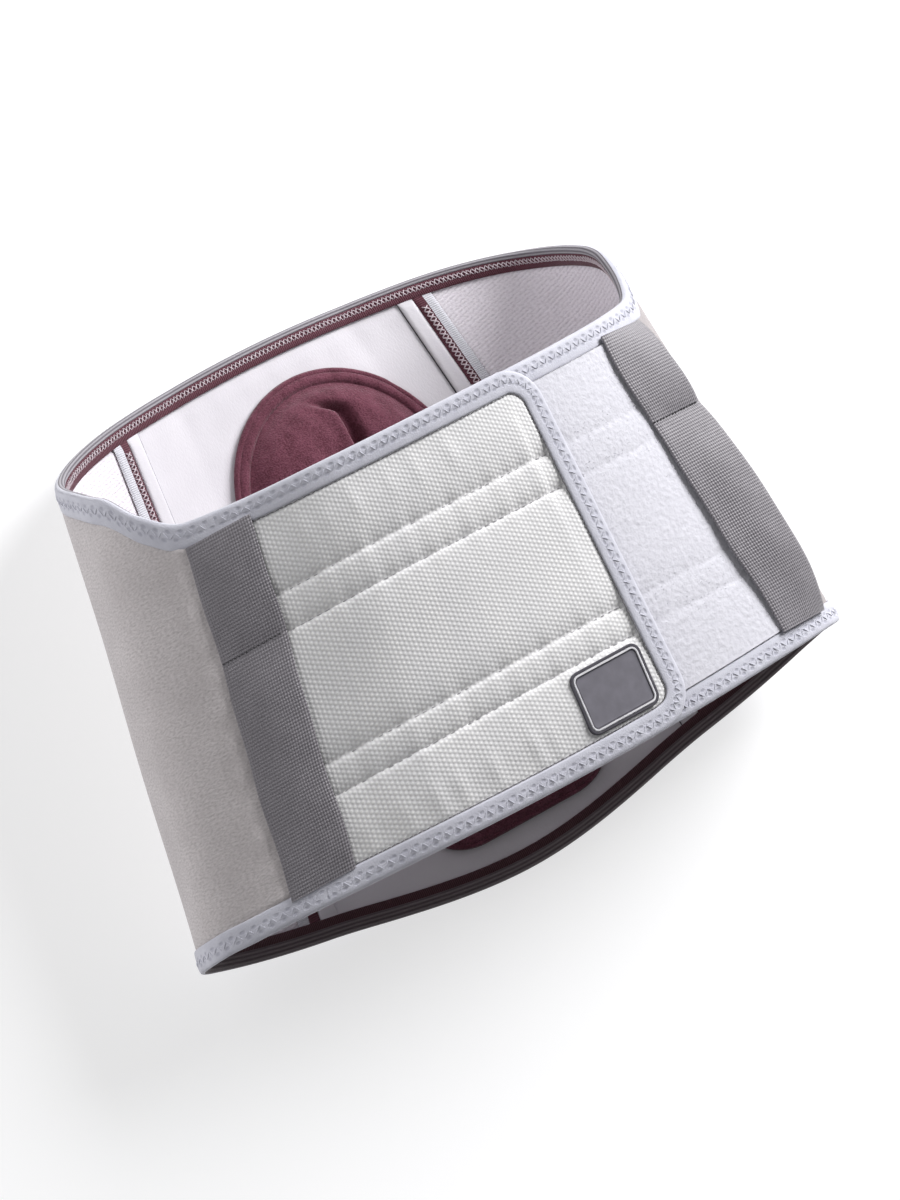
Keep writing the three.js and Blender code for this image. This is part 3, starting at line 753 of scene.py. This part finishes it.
def side_ridge(angle, y):
    """The side panel's edge stands up beside the left strap and is gathered a little."""
    from_strap = arc_at(RIDGE.strap) - STRAP_WIDTH / 2 - arc_at(angle)
    gathered = 1 + 0.35 * np.sin(y / 2.3) + 0.3 * np.sin(y / 5.1 + 2)
    ridge = RIDGE.height * np.exp(-(((from_strap - RIDGE.place) / RIDGE.reach) ** 2))
    return soft_waves(angle, y) + ridge * gathered


def back_puckers(angle, y):
    """The lining is drawn in a little beside the bound edges."""
    arc = arc_at(angle)
    puckers = 0.12 * np.exp(-(((from_edges(angle, y) - 16) / 8) ** 2)) * np.sin(arc / 3.1)
    return puckers + 0.2 * np.sin(arc / 27) * np.sin(y / 33)


def squeezed(from_edge):
    """How full a wall is beside its edge, and the depths of its outer and inner face there."""
    full = smoothstep(from_edge, SQUEEZE.start, SQUEEZE.full)
    return full, SQUEEZE.outer * (1 - full), WALL * full + SQUEEZE.inner * (1 - full)


def add_panel(name, start, end, materials, slot,
              outer_relief=level, inner_relief=level, step=3.0, rows=70):
    """A panel between the edges, thin where the bindings cover it."""
    angle = angles_between(start, end, step)[:, None]
    low, high = edge_heights(angle, HIDDEN_MARGIN)
    y = low + np.linspace(0, 1, rows) * (high - low)
    full, outer, inner = squeezed(from_edges(angle, y))
    clear = smoothstep(section(angle, y)[1], 0, FLOOR_CLEAR)
    outer = loop_point(angle, y, outer - full * clear * outer_relief(angle, y))
    inner = loop_point(angle, y, inner + full * inner_relief(angle, y))
    piece = add_wall(name, outer, inner, spread(arc_at(angle), y), materials)
    settle(piece, slot, name)
    low, high = edge_heights(angle)


# Closure flap

def channel_relief(y):
    """The quilting: the cloth dips gently to each stitched line and is creased along it."""
    from_line = y[..., None] - CHANNEL_LINES
    reach = np.where(from_line > 0, CHANNEL_CREASE.above, CHANNEL_CREASE.below)
    creases = CHANNEL_CREASE.depth * np.exp(-np.abs(from_line) / reach)
    dips = CHANNEL_DIP.depth * np.exp(-((from_line / CHANNEL_DIP.reach) ** 2))
    return -(creases + dips).sum(axis=-1)


def gathers(arc, y, middle, reach, height):
    """Short uneven pleats where a binding draws the flap in."""
    start = arc_at(-STRAP_ANGLE) + GATHER_SPAN.from_strap
    end = arc_at(FLAP_END_ANGLE) - GATHER_SPAN.from_end
    places = np.linspace(start, end, GATHER_COUNT) + rng.uniform(-4, 4, GATHER_COUNT)
    widths = rng.uniform(2.2, 4.2, GATHER_COUNT)
    heights = height * rng.uniform(0.4, 1, GATHER_COUNT)
    leaned = arc + 0.12 * (y - middle)
    rows = zip(places, widths, heights)
    pleats = sum(h * np.exp(-(((leaned - p) / w) ** 2)) for p, w, h in rows)
    return pleats * np.exp(-(((y - middle) / reach) ** 2))


def add_flap():
    """The flap: plain columns up to its rounded end, then columns that follow the round corners."""
    plain = angles_between(-STRAP_ANGLE, FLAP_STRAIGHT_END, FLAP_GRID.step)[:-1]
    turns = np.linspace(np.pi / 2, 0, FLAP_GRID.corner_columns)
    from_end = FLAP_CORNER - (FLAP_CORNER - HIDDEN_MARGIN) * np.cos(turns)
    columns = len(plain) + len(from_end)
    near_end = np.arange(columns)[:, None] >= len(plain)
    across = np.concatenate([np.full(len(plain), FAR), from_end])[:, None]
    angle = np.concatenate([plain, np.full(len(from_end), FLAP_END_ANGLE)])[:, None]
    corner = np.maximum(0, FLAP_CORNER - across)
    drop = FLAP_CORNER - np.sqrt(np.maximum(0, FLAP_CORNER ** 2 - corner ** 2))
    margin = HIDDEN_MARGIN + np.minimum(drop, FLAP_CORNER - HIDDEN_MARGIN - CORNER_SPARE)
    low_edge, high_edge = edge_heights(angle)
    low, high = low_edge + margin, high_edge - margin
    level_rows = np.linspace(*FLAP_LEVEL, FLAP_GRID.level_rows)
    share = np.linspace(0, 1, FLAP_GRID.margin_rows, endpoint=False)
    y = np.concatenate([
        low + share * (level_rows[0] - low),
        np.broadcast_to(level_rows, (columns, len(level_rows))),
        high - share[::-1] * (high - level_rows[-1]),
    ], axis=1)
    angle = np.where(near_end, angle_beside(FLAP_END_ANGLE, y, -across), angle)
    down = np.minimum(y - low_edge, high_edge - y)
    rounded = (across < FLAP_CORNER) & (down < FLAP_CORNER)
    from_round = FLAP_CORNER - np.hypot(FLAP_CORNER - across, FLAP_CORNER - down)
    from_edge = np.where(rounded, from_round, np.minimum(across, down))
    full, outer, inner = squeezed(from_edge)
    arc = arc_at(angle)
    puckers = 1 + 0.2 * np.sin(arc / 2.1) * np.sin(arc / 7.3 + y / 40)
    pillow = PILLOW.height * smoothstep(from_edge, *PILLOW.reach)
    pleats = sum(gathers(arc, y, **edge) for edge in GATHERS.values())
    waves = 0.2 * np.sin(arc / 17 + y / 29)
    outer = outer - full * (channel_relief(y) * puckers + pillow + pleats + waves)
    lift = np.where(near_end, FLAP_LIFT, flap_lift(angle))
    faces = [loop_point(angle, y, depth - lift) for depth in (outer, inner)]
    piece = add_wall("closure_flap", *faces, spread(arc, y), [weave])
    settle(piece, "weave", "closure_flap")


def add_channel_stitches():
    """Running stitches along the quilted lines, their thread painted grey to stand for the shade in
    the creases.
    """
    length = CHANNEL_STITCH.length
    start, end = arc_at(-STRAP_ANGLE + 1), arc_at(FLAP_END_ANGLE) - BINDING_HEIGHT - 1
    starts = np.arange(start, end - length, CHANNEL_STITCH.pitch)
    bow = np.array([0.5, -0.1, -0.25, -0.1, 0.5])
    angle = angle_at(starts[:, None] + np.linspace(0, length, len(bow)))
    depth = bow - flap_lift(angle)
    valleys = channel_relief(CHANNEL_LINES) + PILLOW.height
    angle, depth = (np.tile(values, (len(CHANNEL_LINES), 1)) for values in (angle, depth))
    line, valley = (np.repeat(values, len(starts))[:, None] for values in (CHANNEL_LINES, valleys))
    add_threads("channel_stitches", lambda further: loop_point(angle, line, depth - valley + further),
                CHANNEL_STITCH.radius, channel_thread_and_shade, "weave")


# Loop pile

def add_pile():
    start, end = UNDER_PANEL_START + 1, STRAP_ANGLE - 1
    angle = angles_between(start, end, PILE_FORM.step)[:, None]
    low, high = edge_heights(angle, BINDING_HEIGHT + 0.6)
    y = low + np.linspace(0, 1, PILE_FORM.rows) * (high - low)
    lumps = PILE_FORM.lumps * rng.standard_normal(y.shape)
    outer = loop_point(angle, y, -PILE - GAP - PILE_FORM.quilting * channel_relief(y) - lumps)
    inner = loop_point(angle, y, -PILE_FORM.seat)
    piece = add_wall("loop_pile", outer, inner, spread(arc_at(angle), y), [pile])
    settle(piece, "pile", "loop_pile")


def add_tufts():
    """Loose fibres of the pile, where it shows beside the flap: slim three-sided spikes."""
    count = TUFTS.count
    angle = rng.uniform(FLAP_END_ANGLE - 2, STRAP_ANGLE - 1, count)
    low, high = edge_heights(angle, BINDING_HEIGHT + 1)
    y = rng.uniform(0, 1, count) * (high - low) + low
    face = -PILE - GAP
    root = loop_point(angle, y, face + TUFTS.root)
    out = loop_point(angle, y, face - 1) - loop_point(angle, y, face)
    lean = rng.standard_normal((count, 3)) * TUFTS.lean
    top = root + unit(out + lean) * rng.uniform(*TUFTS.length, count)[:, None]
    side = unit(np.cross(out, rng.standard_normal((count, 3))))
    other = np.cross(out, side)
    turns = np.radians((0, 120, 240))
    base = [root + TUFTS.width * (np.cos(t) * side + np.sin(t) * other) for t in turns]
    points = np.stack([*base, top], axis=1).reshape(-1, 3)
    first = np.arange(count)[:, None] * 4
    spike = ((0, 2, 1), (0, 1, 3), (1, 2, 3), (2, 0, 3))
    faces = np.concatenate([first + np.array(corners) for corners in spike])
    cloth = np.repeat(spread(arc_at(angle), y, 0.0), 4, axis=0)
    settle(add_piece("pile_fibres", points, faces.tolist(), cloth, [pile]), "pile")


# Hand straps

def add_strap(name, upper, lower, base, stitch, upper_loop, lower_loop, outer_rise, flare):
    """A strap sewn down at both ends and once between, with two slack loops."""
    inset = BINDING_HEIGHT - HIDDEN_MARGIN
    bottom = float(inset_height("lower", lower, inset))
    top = float(inset_height("upper", upper, inset))
    y = np.linspace(bottom, top, STRAP_ROWS)[None, :]
    across = np.concatenate([-STRAP_HALF[::-1], [0], STRAP_HALF])[:, None]
    share = (y - bottom) / (top - bottom)
    below = y < stitch
    start, end = np.where(below, bottom, stitch), np.where(below, stitch, top)
    along = 2 * (y - start) / (end - start) - 1
    rise = outer_rise * (across + 0.5) ** 2 * (1 - (2 * share - 1) ** 4)
    slack = np.where(below, lower_loop, upper_loop) * (0.3 + 0.7 * smoothstep(across, -0.5, 0.2))
    sag = 0.5 * (1 - (2 * across) ** 2) * (1 - np.abs(along) ** 4)
    stand_off = base + rise + slack * (1 - np.abs(along) ** 2.6) + sag
    centre = lower + share * (upper - lower) + flare * np.maximum(0, along * ~below) ** 2
    wander = 0.5 * np.sin(y / 17 + 1) + 0.3 * np.sin(y / 7)
    angle = angle_beside(centre, y, across * STRAP_WIDTH + wander)
    ribs = RIB_HEIGHT * np.cos(2 * np.pi * y / RIB_PITCH)
    selvedge = 0.45 * smoothstep(np.abs(across), 0.465, 0.5)
    depth = -stand_off - flap_lift(angle)
    outer = loop_point(angle, y, depth - STRAP_TAPE - ribs + selvedge)
    inner = loop_point(angle, y, depth - selvedge * 0.6)
    piece = add_wall(name, outer, inner, spread(across * STRAP_WIDTH, y), [webbing])
    settle(piece, "webbing", name)
    middle = lower + (stitch - bottom) / (top - bottom) * (upper - lower)
    add_strap_stitches(name, middle, stitch, base, outer_rise)


def add_strap_stitches(name, angle, stitch, base, outer_rise):
    """The row that sews a strap down between its loops."""
    starts = np.arange(-STRAP_WIDTH / 2 + 1, STRAP_WIDTH / 2 - 2, STRAP_STITCH.pitch)
    bow = np.array([0.5, -0.25, -0.4, -0.25, 0.5])
    across = starts[:, None] + np.linspace(0, STRAP_STITCH.length, len(bow))
    turn = angle_beside(angle, stitch, across)
    rise = outer_rise * (across / STRAP_WIDTH + 0.5) ** 2
    depth = -base - rise - STRAP_TAPE + bow - flap_lift(turn)
    add_threads(f"{name}_stitches", lambda further: loop_point(turn, stitch, depth + further),
                STRAP_STITCH.radius, dark_thread_and_shadow, "webbing")


# Tapes and stays over the back seams

def seam_angle(seam, across):
    """The angle at a distance from a seam, towards the middle of the back."""
    return angle_beside(seam, 0.0, np.sign(seam) * across)


def add_seam_strip(name, seam, start, end, materials, slot, split=-100.0):
    """A strip along a seam, inside, between two distances from it. Its second material, if any,
    lies before the split."""
    across = np.linspace(start, end, STRIP.columns)[:, None]
    angle = seam_angle(seam, across)
    low, high = edge_heights(angle, STRIP.inset)
    y = low + np.linspace(0, 1, STRIP.rows) * (high - low)
    tucked = smoothstep(np.minimum(y - low, high - y), 2, 6)
    puff = tucked * (1 - (2 * (across - start) / (end - start) - 1) ** 6)
    lower_face = WALL + GAP
    upper_face = lower_face + 0.25 + STRIP.thickness * (0.2 * tucked + 0.8 * puff)
    outer, inner = loop_point(angle, y, lower_face + 0.2), loop_point(angle, y, upper_face)
    column_slots = (across[:-1, 0] < split).astype(int)
    piece = add_wall(name, outer, inner, spread(y, across), materials, column_slots)
    settle(piece, slot, name)


def add_seam_stitches(label, seam, line_thread_by_light):
    """Crossed zigzags down the burgundy half of a seam tape, and a line beside the stay. Where its
    thread is dark, the line is a painted shadow along the stay's edge.
    """
    half_pitch = SEAM_STITCH.pitch / 2
    starts = np.arange(*SEAM_STITCH.ends, half_pitch)[:, None]
    bow = np.array([0.5, -0.15, -0.4, -0.45, -0.4, -0.15, 0.5])
    share = np.linspace(0, 1, len(bow))
    face = WALL + GAP + 0.25 + STRIP.thickness
    rising = np.arange(len(starts))[:, None] % 2 == 0
    crossed = np.concatenate([np.where(up, share, 1 - share) for up in (rising, ~rising)])
    zigzags = seam_angle(seam, SEAM_STITCH.start + SEAM_STITCH.width * crossed)
    y = np.tile(starts + share * half_pitch, (2, 1))
    line = seam_angle(seam, SEAM_TAPE_WIDTH / 2 + GAP + STAY_WIDTH + STAY_LINE.beside)
    line_y = np.linspace(*STAY_LINE.ends, STAY_LINE.steps)[None, :]
    line_depth = WALL + STAY_LINE.seat
    add_threads(f"seam_stitches_{label}", lambda further: loop_point(zigzags, y, face - bow + further),
                SEAM_STITCH.radius, chain_thread, "burgundy", outward=1)
    add_threads(f"stay_line_{label}", lambda further: loop_point(line, line_y, line_depth + further),
                STAY_LINE.radius, line_thread_by_light, "lining", outward=1)


# Lumbar pad

def pad_outline(count):
    """Round top, sides that draw in and a blunt foot, as equal steps along the line."""
    wide, widest_y, foot_y = PAD.half_width, PAD.widest_y, PAD.foot_y
    turn = np.linspace(0, np.pi, 181)
    cap = spread(wide * np.cos(turn), widest_y + (PAD.top_y - widest_y) * np.sin(turn))
    t = np.linspace(0, 1, 181)[1:, None]
    inner, outer = (PAD.foot_half_width + sign * PAD.foot_round for sign in (-1, 1))
    corners = np.array([
        (-wide, widest_y), (-wide, widest_y - PAD.side_pull), (-outer, foot_y), (-inner, foot_y),
    ])
    weights = np.c_[(1 - t) ** 3, 3 * t * (1 - t) ** 2, 3 * t ** 2 * (1 - t), t ** 3]
    side = weights @ corners
    line = np.concatenate([cap, side, (side * np.array([-1, 1]))[::-1]])
    length = run_length(line)
    places = np.linspace(0, length[-1], count, endpoint=False)
    return spread(*[np.interp(places, length, line[:, k]) for k in (0, 1)])


def pad_ring(outline, inset, height):
    """The outline drawn in towards the pad's spine, on the back panel at a height."""
    spine = (PAD.foot_y + PAD_SPINE.from_foot, PAD.top_y - PAD_SPINE.from_top)
    to_spine = spread(-outline[:, 0], np.clip(outline[:, 1], *spine) - outline[:, 1])
    reach = np.linalg.norm(to_spine, axis=1, keepdims=True)
    x, y = (outline + to_spine / reach * np.minimum(inset, reach * 0.985)).T
    across = (PAD.centre_x + x) / half_width_at(180.0, y)
    from_back = np.degrees(np.arccos((1 - across ** 2) ** (1 / BACK_POWER)))
    return loop_point(180 - np.sign(across) * from_back, y, PAD_SEAT + height)


def pad_fold(x, y):
    """Depth of the fold down the pad, hooked at its top: a crisp lip on its left, an easy rise on
    its right."""
    side = x - (2 + 9 * smoothstep(y, 20, 98) - 13 * smoothstep(y, 90, 104))
    right = np.maximum(side, 0)
    rise = 0.6 * np.exp(-((right / FOLD.right) ** 2)) + 0.4 * np.exp(-right / FOLD.far_right)
    valley = np.where(side < 0, np.exp(-((side / FOLD.left) ** 2)), rise)
    lip = np.exp(-(((side + 5) / 4) ** 2))
    along = (1 - smoothstep(y, 80, 103)) * 0.8 + 0.2 * (1 - smoothstep(y, 92, 106))
    return (FOLD.depth * valley - FOLD.lip * lip) * along * smoothstep(y, -60, 40)


def apply_modifiers(piece):
    graph = bpy.context.evaluated_depsgraph_get()
    mesh = bpy.data.meshes.new_from_object(piece.evaluated_get(graph), depsgraph=graph)
    old = piece.data
    piece.modifiers.clear()
    piece.data = mesh
    bpy.data.meshes.remove(old)


def read_points(mesh):
    points = np.empty(len(mesh.vertices) * 3, np.float32)
    mesh.vertices.foreach_get("co", points)
    return points.reshape(-1, 3).astype(float)


def write_points(mesh, points):
    mesh.vertices.foreach_set("co", points.astype(np.float32).ravel())


def inflate(piece):
    """Cloth under inner pressure, held where it is sewn, with no point moved past the cap."""
    before = read_points(piece.data)
    held = piece.vertex_groups.new(name="sewn")
    sewn = np.flatnonzero(before[:, 2] < (PAD_SEAT + STUFFING.sewn) * MM)
    held.add(sewn.tolist(), 1.0, "REPLACE")
    cloth = piece.modifiers.new("stuffing", "CLOTH").settings
    cloth.use_pressure = True
    cloth.uniform_pressure_force = STUFFING.pressure
    cloth.vertex_group_mass = held.name
    cloth.effector_weights.gravity = 0
    cloth.quality = STUFFING.quality
    scene = bpy.context.scene
    for step in range(1, STUFFING.frames + 1):
        scene.frame_set(step)
    apply_modifiers(piece)
    scene.frame_set(1)
    moved = read_points(piece.data) - before
    far = np.linalg.norm(moved, axis=1, keepdims=True)
    moved *= np.minimum(1, STUFFING.cap * MM / np.maximum(far, 1e-9))
    write_points(piece.data, before + moved)


def add_pad_body():
    """The stuffed middle, blown up by a short cloth simulation."""
    outline = pad_outline(PAD_BODY.steps)
    insets, heights = PAD_BODY.insets, PAD_CROWN * np.array(PAD_BODY.heights)
    tops = [pad_ring(outline, inset, height) for inset, height in zip(insets, heights)]
    points = np.concatenate([pad_ring(outline, insets[0], 0.1), *tops])
    faces = loft_faces(len(tops) + 1, len(outline))
    body = add_piece("lumbar_pad", points, faces, np.zeros_like(points), [velour])
    remesh = body.modifiers.new("even", "REMESH")
    remesh.mode = "VOXEL"
    remesh.voxel_size = PAD_BODY.voxel * MM
    apply_modifiers(body)
    inflate(body)
    subdivide = body.modifiers.new("fine", "SUBSURF")
    subdivide.levels = subdivide.render_levels = 1
    apply_modifiers(body)
    return body


def add_pad():
    body = add_pad_body()
    mesh = body.data
    points = read_points(mesh) / MM
    local_x, y = points[:, 0] - MIDDLE_X - PAD.centre_x, points[:, 1]
    least, most = (PAD_SEAT + clear for clear in FOLD.clear)
    above = smoothstep(points[:, 2], least, most)
    points[:, 2] -= above * np.minimum(pad_fold(local_x, y), np.maximum(0, points[:, 2] - least))
    write_points(mesh, points * MM)
    place = mesh.attributes.get("cloth") or mesh.attributes.new("cloth", "FLOAT_VECTOR", "POINT")
    place.data.foreach_set("vector", points.astype(np.float32).ravel())
    set_smooth(mesh)
    mesh.update()
    settle(body, "velour", "lumbar_pad")


def add_pad_border():
    """The flat sewn border round the pad, with a rolled outer edge and a groove at the seam."""
    outline = pad_outline(PAD_BORDER_STEPS)
    profile = (
        (0.0, 0.3), (-0.3, 1.0), (-0.1, 2.0), (0.7, 2.9), (1.6, 3.0), (2.2, 2.7), (3.0, 3.4),
        (4.6, 4.0), (6.2, 3.7), (7.4, 2.6), (8.2, 1.5), (9.6, 0.6), (9.6, 0.2), (5.0, 0.1),
    )
    rings = np.stack([pad_ring(outline, inset, height) for inset, height in profile], axis=1)
    points = rings.reshape(-1, 3)
    index = np.arange(len(points)).reshape(rings.shape[:2])
    ahead = np.roll(index, -1, axis=0)
    quads = spread(index, ahead, np.roll(ahead, -1, axis=1), np.roll(index, -1, axis=1))
    piece = add_piece("lumbar_pad_border", points, quads.reshape(-1, 4), points, [velour])
    settle(piece, "velour")


# Label patch

def patch_ring(inset):
    """The patch's rounded outline, drawn in, about its own middle."""
    half_x = (PATCH.right - PATCH.left) / 2 - inset
    half_y = (PATCH.upper - PATCH.lower) / 2 - inset
    radius = max(0.3, PATCH.corner - inset)
    turn = np.linspace(0, np.pi / 2, PATCH_CORNER_STEPS)
    return np.concatenate([
        spread(sx * (half_x - radius) + radius * np.cos(turn + k * np.pi / 2),
               sy * (half_y - radius) + radius * np.sin(turn + k * np.pi / 2))
        for k, (sx, sy) in enumerate(CORNER_SIGNS)
    ])


def add_patch():
    """A bare moulded patch: dark edge, pale raised line, sunk field."""
    middle_x = (PATCH.left + PATCH.right) / 2
    middle_y = (PATCH.lower + PATCH.upper) / 2
    rings, cloth = [], []
    for inset, height in PATCH_PROFILE:
        flat = patch_ring(inset)
        x, y = middle_x + flat[:, 0], middle_y + flat[:, 1]
        angle = np.degrees(np.arcsin(x / half_width_at(0.0, y)))
        rings.append(loop_point(angle, y, -FLAP_LIFT - GAP - height))
        cloth.append(np.c_[flat, np.zeros(len(flat))])
    sides = len(flat)
    tones = [*np.repeat(PATCH_TONES, sides), 0, 0]
    faces = loft_faces(len(rings), sides)
    materials = [rubber, rim_rubber, edge_rubber]
    piece = add_piece("label_patch", np.concatenate(rings), faces, np.concatenate(cloth), materials,
                      tones, sharp=35)
    settle(piece, "rubber", "label_patch")


# Stage

def add_floor():
    mesh = bpy.data.meshes.new("floor")
    corners = [(FLOOR_SIZE * x, FLOOR_SIZE * y, 0) for x, y in CORNER_SIGNS]
    mesh.from_pydata(corners, [], [(0, 1, 2, 3)])
    material = bpy.data.materials.new("pale_floor")
    material.use_nodes = True
    set_inputs(material.node_tree.nodes["Principled BSDF"].inputs, FLOOR_LOOK)
    mesh.materials.append(material)
    add_object("floor", mesh)


def add_light(name, direction, distance, size, power):
    light = bpy.data.lights.new(name, "AREA")
    light.shape = "DISK"
    light.size = size
    light.energy = power
    lamp = add_object(name, light)
    toward = Vector(direction).normalized()
    lamp.location = Vector(LIGHT_TARGET) + toward * distance
    lamp.rotation_mode = "QUATERNION"
    lamp.rotation_quaternion = toward.to_track_quat("Z", "Y")


def add_world():
    """A soft surround, dimmer below the brace's lower edge than beyond its upper edge."""
    world = bpy.data.worlds.new("studio")
    world.use_nodes = True
    nodes, links = world.node_tree.nodes, world.node_tree.links
    background = nodes["Background"]
    background.inputs["Color"].default_value = (1, 1, 1, 1)
    direction = nodes.new("ShaderNodeTexCoord")
    parts = nodes.new("ShaderNodeSeparateXYZ")
    blend = nodes.new("ShaderNodeMapRange")
    set_inputs(blend.inputs, SURROUND)
    links.new(direction.outputs["Generated"], parts.inputs["Vector"])
    links.new(parts.outputs["Y"], blend.inputs["Value"])
    links.new(blend.outputs["Result"], background.inputs["Strength"])
    bpy.context.scene.world = world


def add_camera():
    """The photograph's view: from above the front, rolled to the left."""
    back, up = Vector(CAMERA.back), Vector(CAMERA.up)
    target = Vector(CAMERA.target) * MM
    camera = add_object("camera", bpy.data.cameras.new("camera"))
    camera.data.lens = CAMERA.lens
    camera.data.sensor_width = CAMERA.sensor_width
    camera.location = target + back * CAMERA.distance
    look = (camera.location - (target - up * CAMERA.below)).normalized()
    right = up.cross(look).normalized()
    rotation = Matrix((right, look.cross(right), look)).transposed()
    camera.rotation_mode = "QUATERNION"
    camera.rotation_quaternion = rotation.to_quaternion()
    bpy.context.scene.camera = camera


# The brace

right_seam, left_seam = SEAM_ANGLES["right"], SEAM_ANGLES["left"]
add_panel("back_panel", right_seam, 360 + left_seam, [knit, lining], "lining",
          inner_relief=back_puckers)
add_panel("side_panel_right", STRAP_ANGLE, right_seam, [shaded_right_knit, inner_knit], "knit", soft_waves)
add_panel("side_panel_left", left_seam, -STRAP_ANGLE, [knit, inner_knit], "knit", side_ridge,
          step=2.0, rows=160)
add_panel("under_panel", UNDER_PANEL_START, STRAP_ANGLE, [weave, knit], "weave")
add_flap()
add_channel_stitches()
add_pile()
add_tufts()

bound_angles = angles_between(UNDER_PANEL_START, 360 - STRAP_ANGLE, TRACK_STEP)
bound = {edge: edge_track(edge, bound_angles) for edge in ("upper", "lower")}
around_flap = flap_track()
# The lower rim takes the darker copies of fold and facing: painted shade.
looks = {"upper": (upper_fold, burgundy), "lower": (shaded_lower_fold, shaded_burgundy)}
for edge, track in bound.items():
    fold, facing = looks[edge]
    add_tape(f"binding_{edge}", track, binding_section(BACK_LEG[edge]), [binding, fold], "binding")
    add_tape(f"facing_{edge}", track, facing_section(BACK_LEG[edge]), [facing], "burgundy")
add_tape("binding_flap", around_flap, binding_section(BACK_LEG["upper"]), [binding, upper_fold],
         "binding")
add_zigzag("binding_stitches", [*bound.values(), around_flap], low=STITCH.low, high=STITCH.high,
           depth=-0.8, pitch=STITCH.pitch, radius=0.22, material=binding_thread, slot="binding")
# Dark thread along the binding's inner edge round the flap: partly a real stitch line, partly painted
# shadow under the binding's edge.
add_zigzag("flap_edge_stitches_and_shadow", [around_flap], low=10.5, high=10.8, depth=0.05, pitch=4.4,
           radius=0.24, material=edge_thread_and_shadow, slot="weave")
add_zigzag("facing_stitches", [bound["upper"]], low=3.7, high=6.9, depth=4.25, pitch=4.6,
           radius=0.28, material=chain_thread, slot="burgundy", outward=1, crossed=True)
for name, strap in STRAPS.items():
    add_strap(name, **strap)
for label, seam in SEAM_ANGLES.items():
    half = SEAM_TAPE_WIDTH / 2
    stay = half + GAP
    add_seam_strip(f"seam_tape_{label}", seam, -half, half, [burgundy, grey_tape], "burgundy",
                   split=-0.8)
    add_seam_strip(f"stay_channel_{label}", seam, stay, stay + STAY_WIDTH, [lining], "lining")
    # The right stay's line is dark thread standing for painted shadow along its edge. The left one is
    # a pale line, as the light falls there.
    add_seam_stitches(label, seam, dark_thread_and_shadow if label == "right" else pale_thread)
add_pad()
add_pad_border()
add_patch()

add_floor()
add_world()
for name, light in LIGHTS.items():
    add_light(name, **light)
add_camera()
bpy.context.scene.view_settings.view_transform = "Standard"
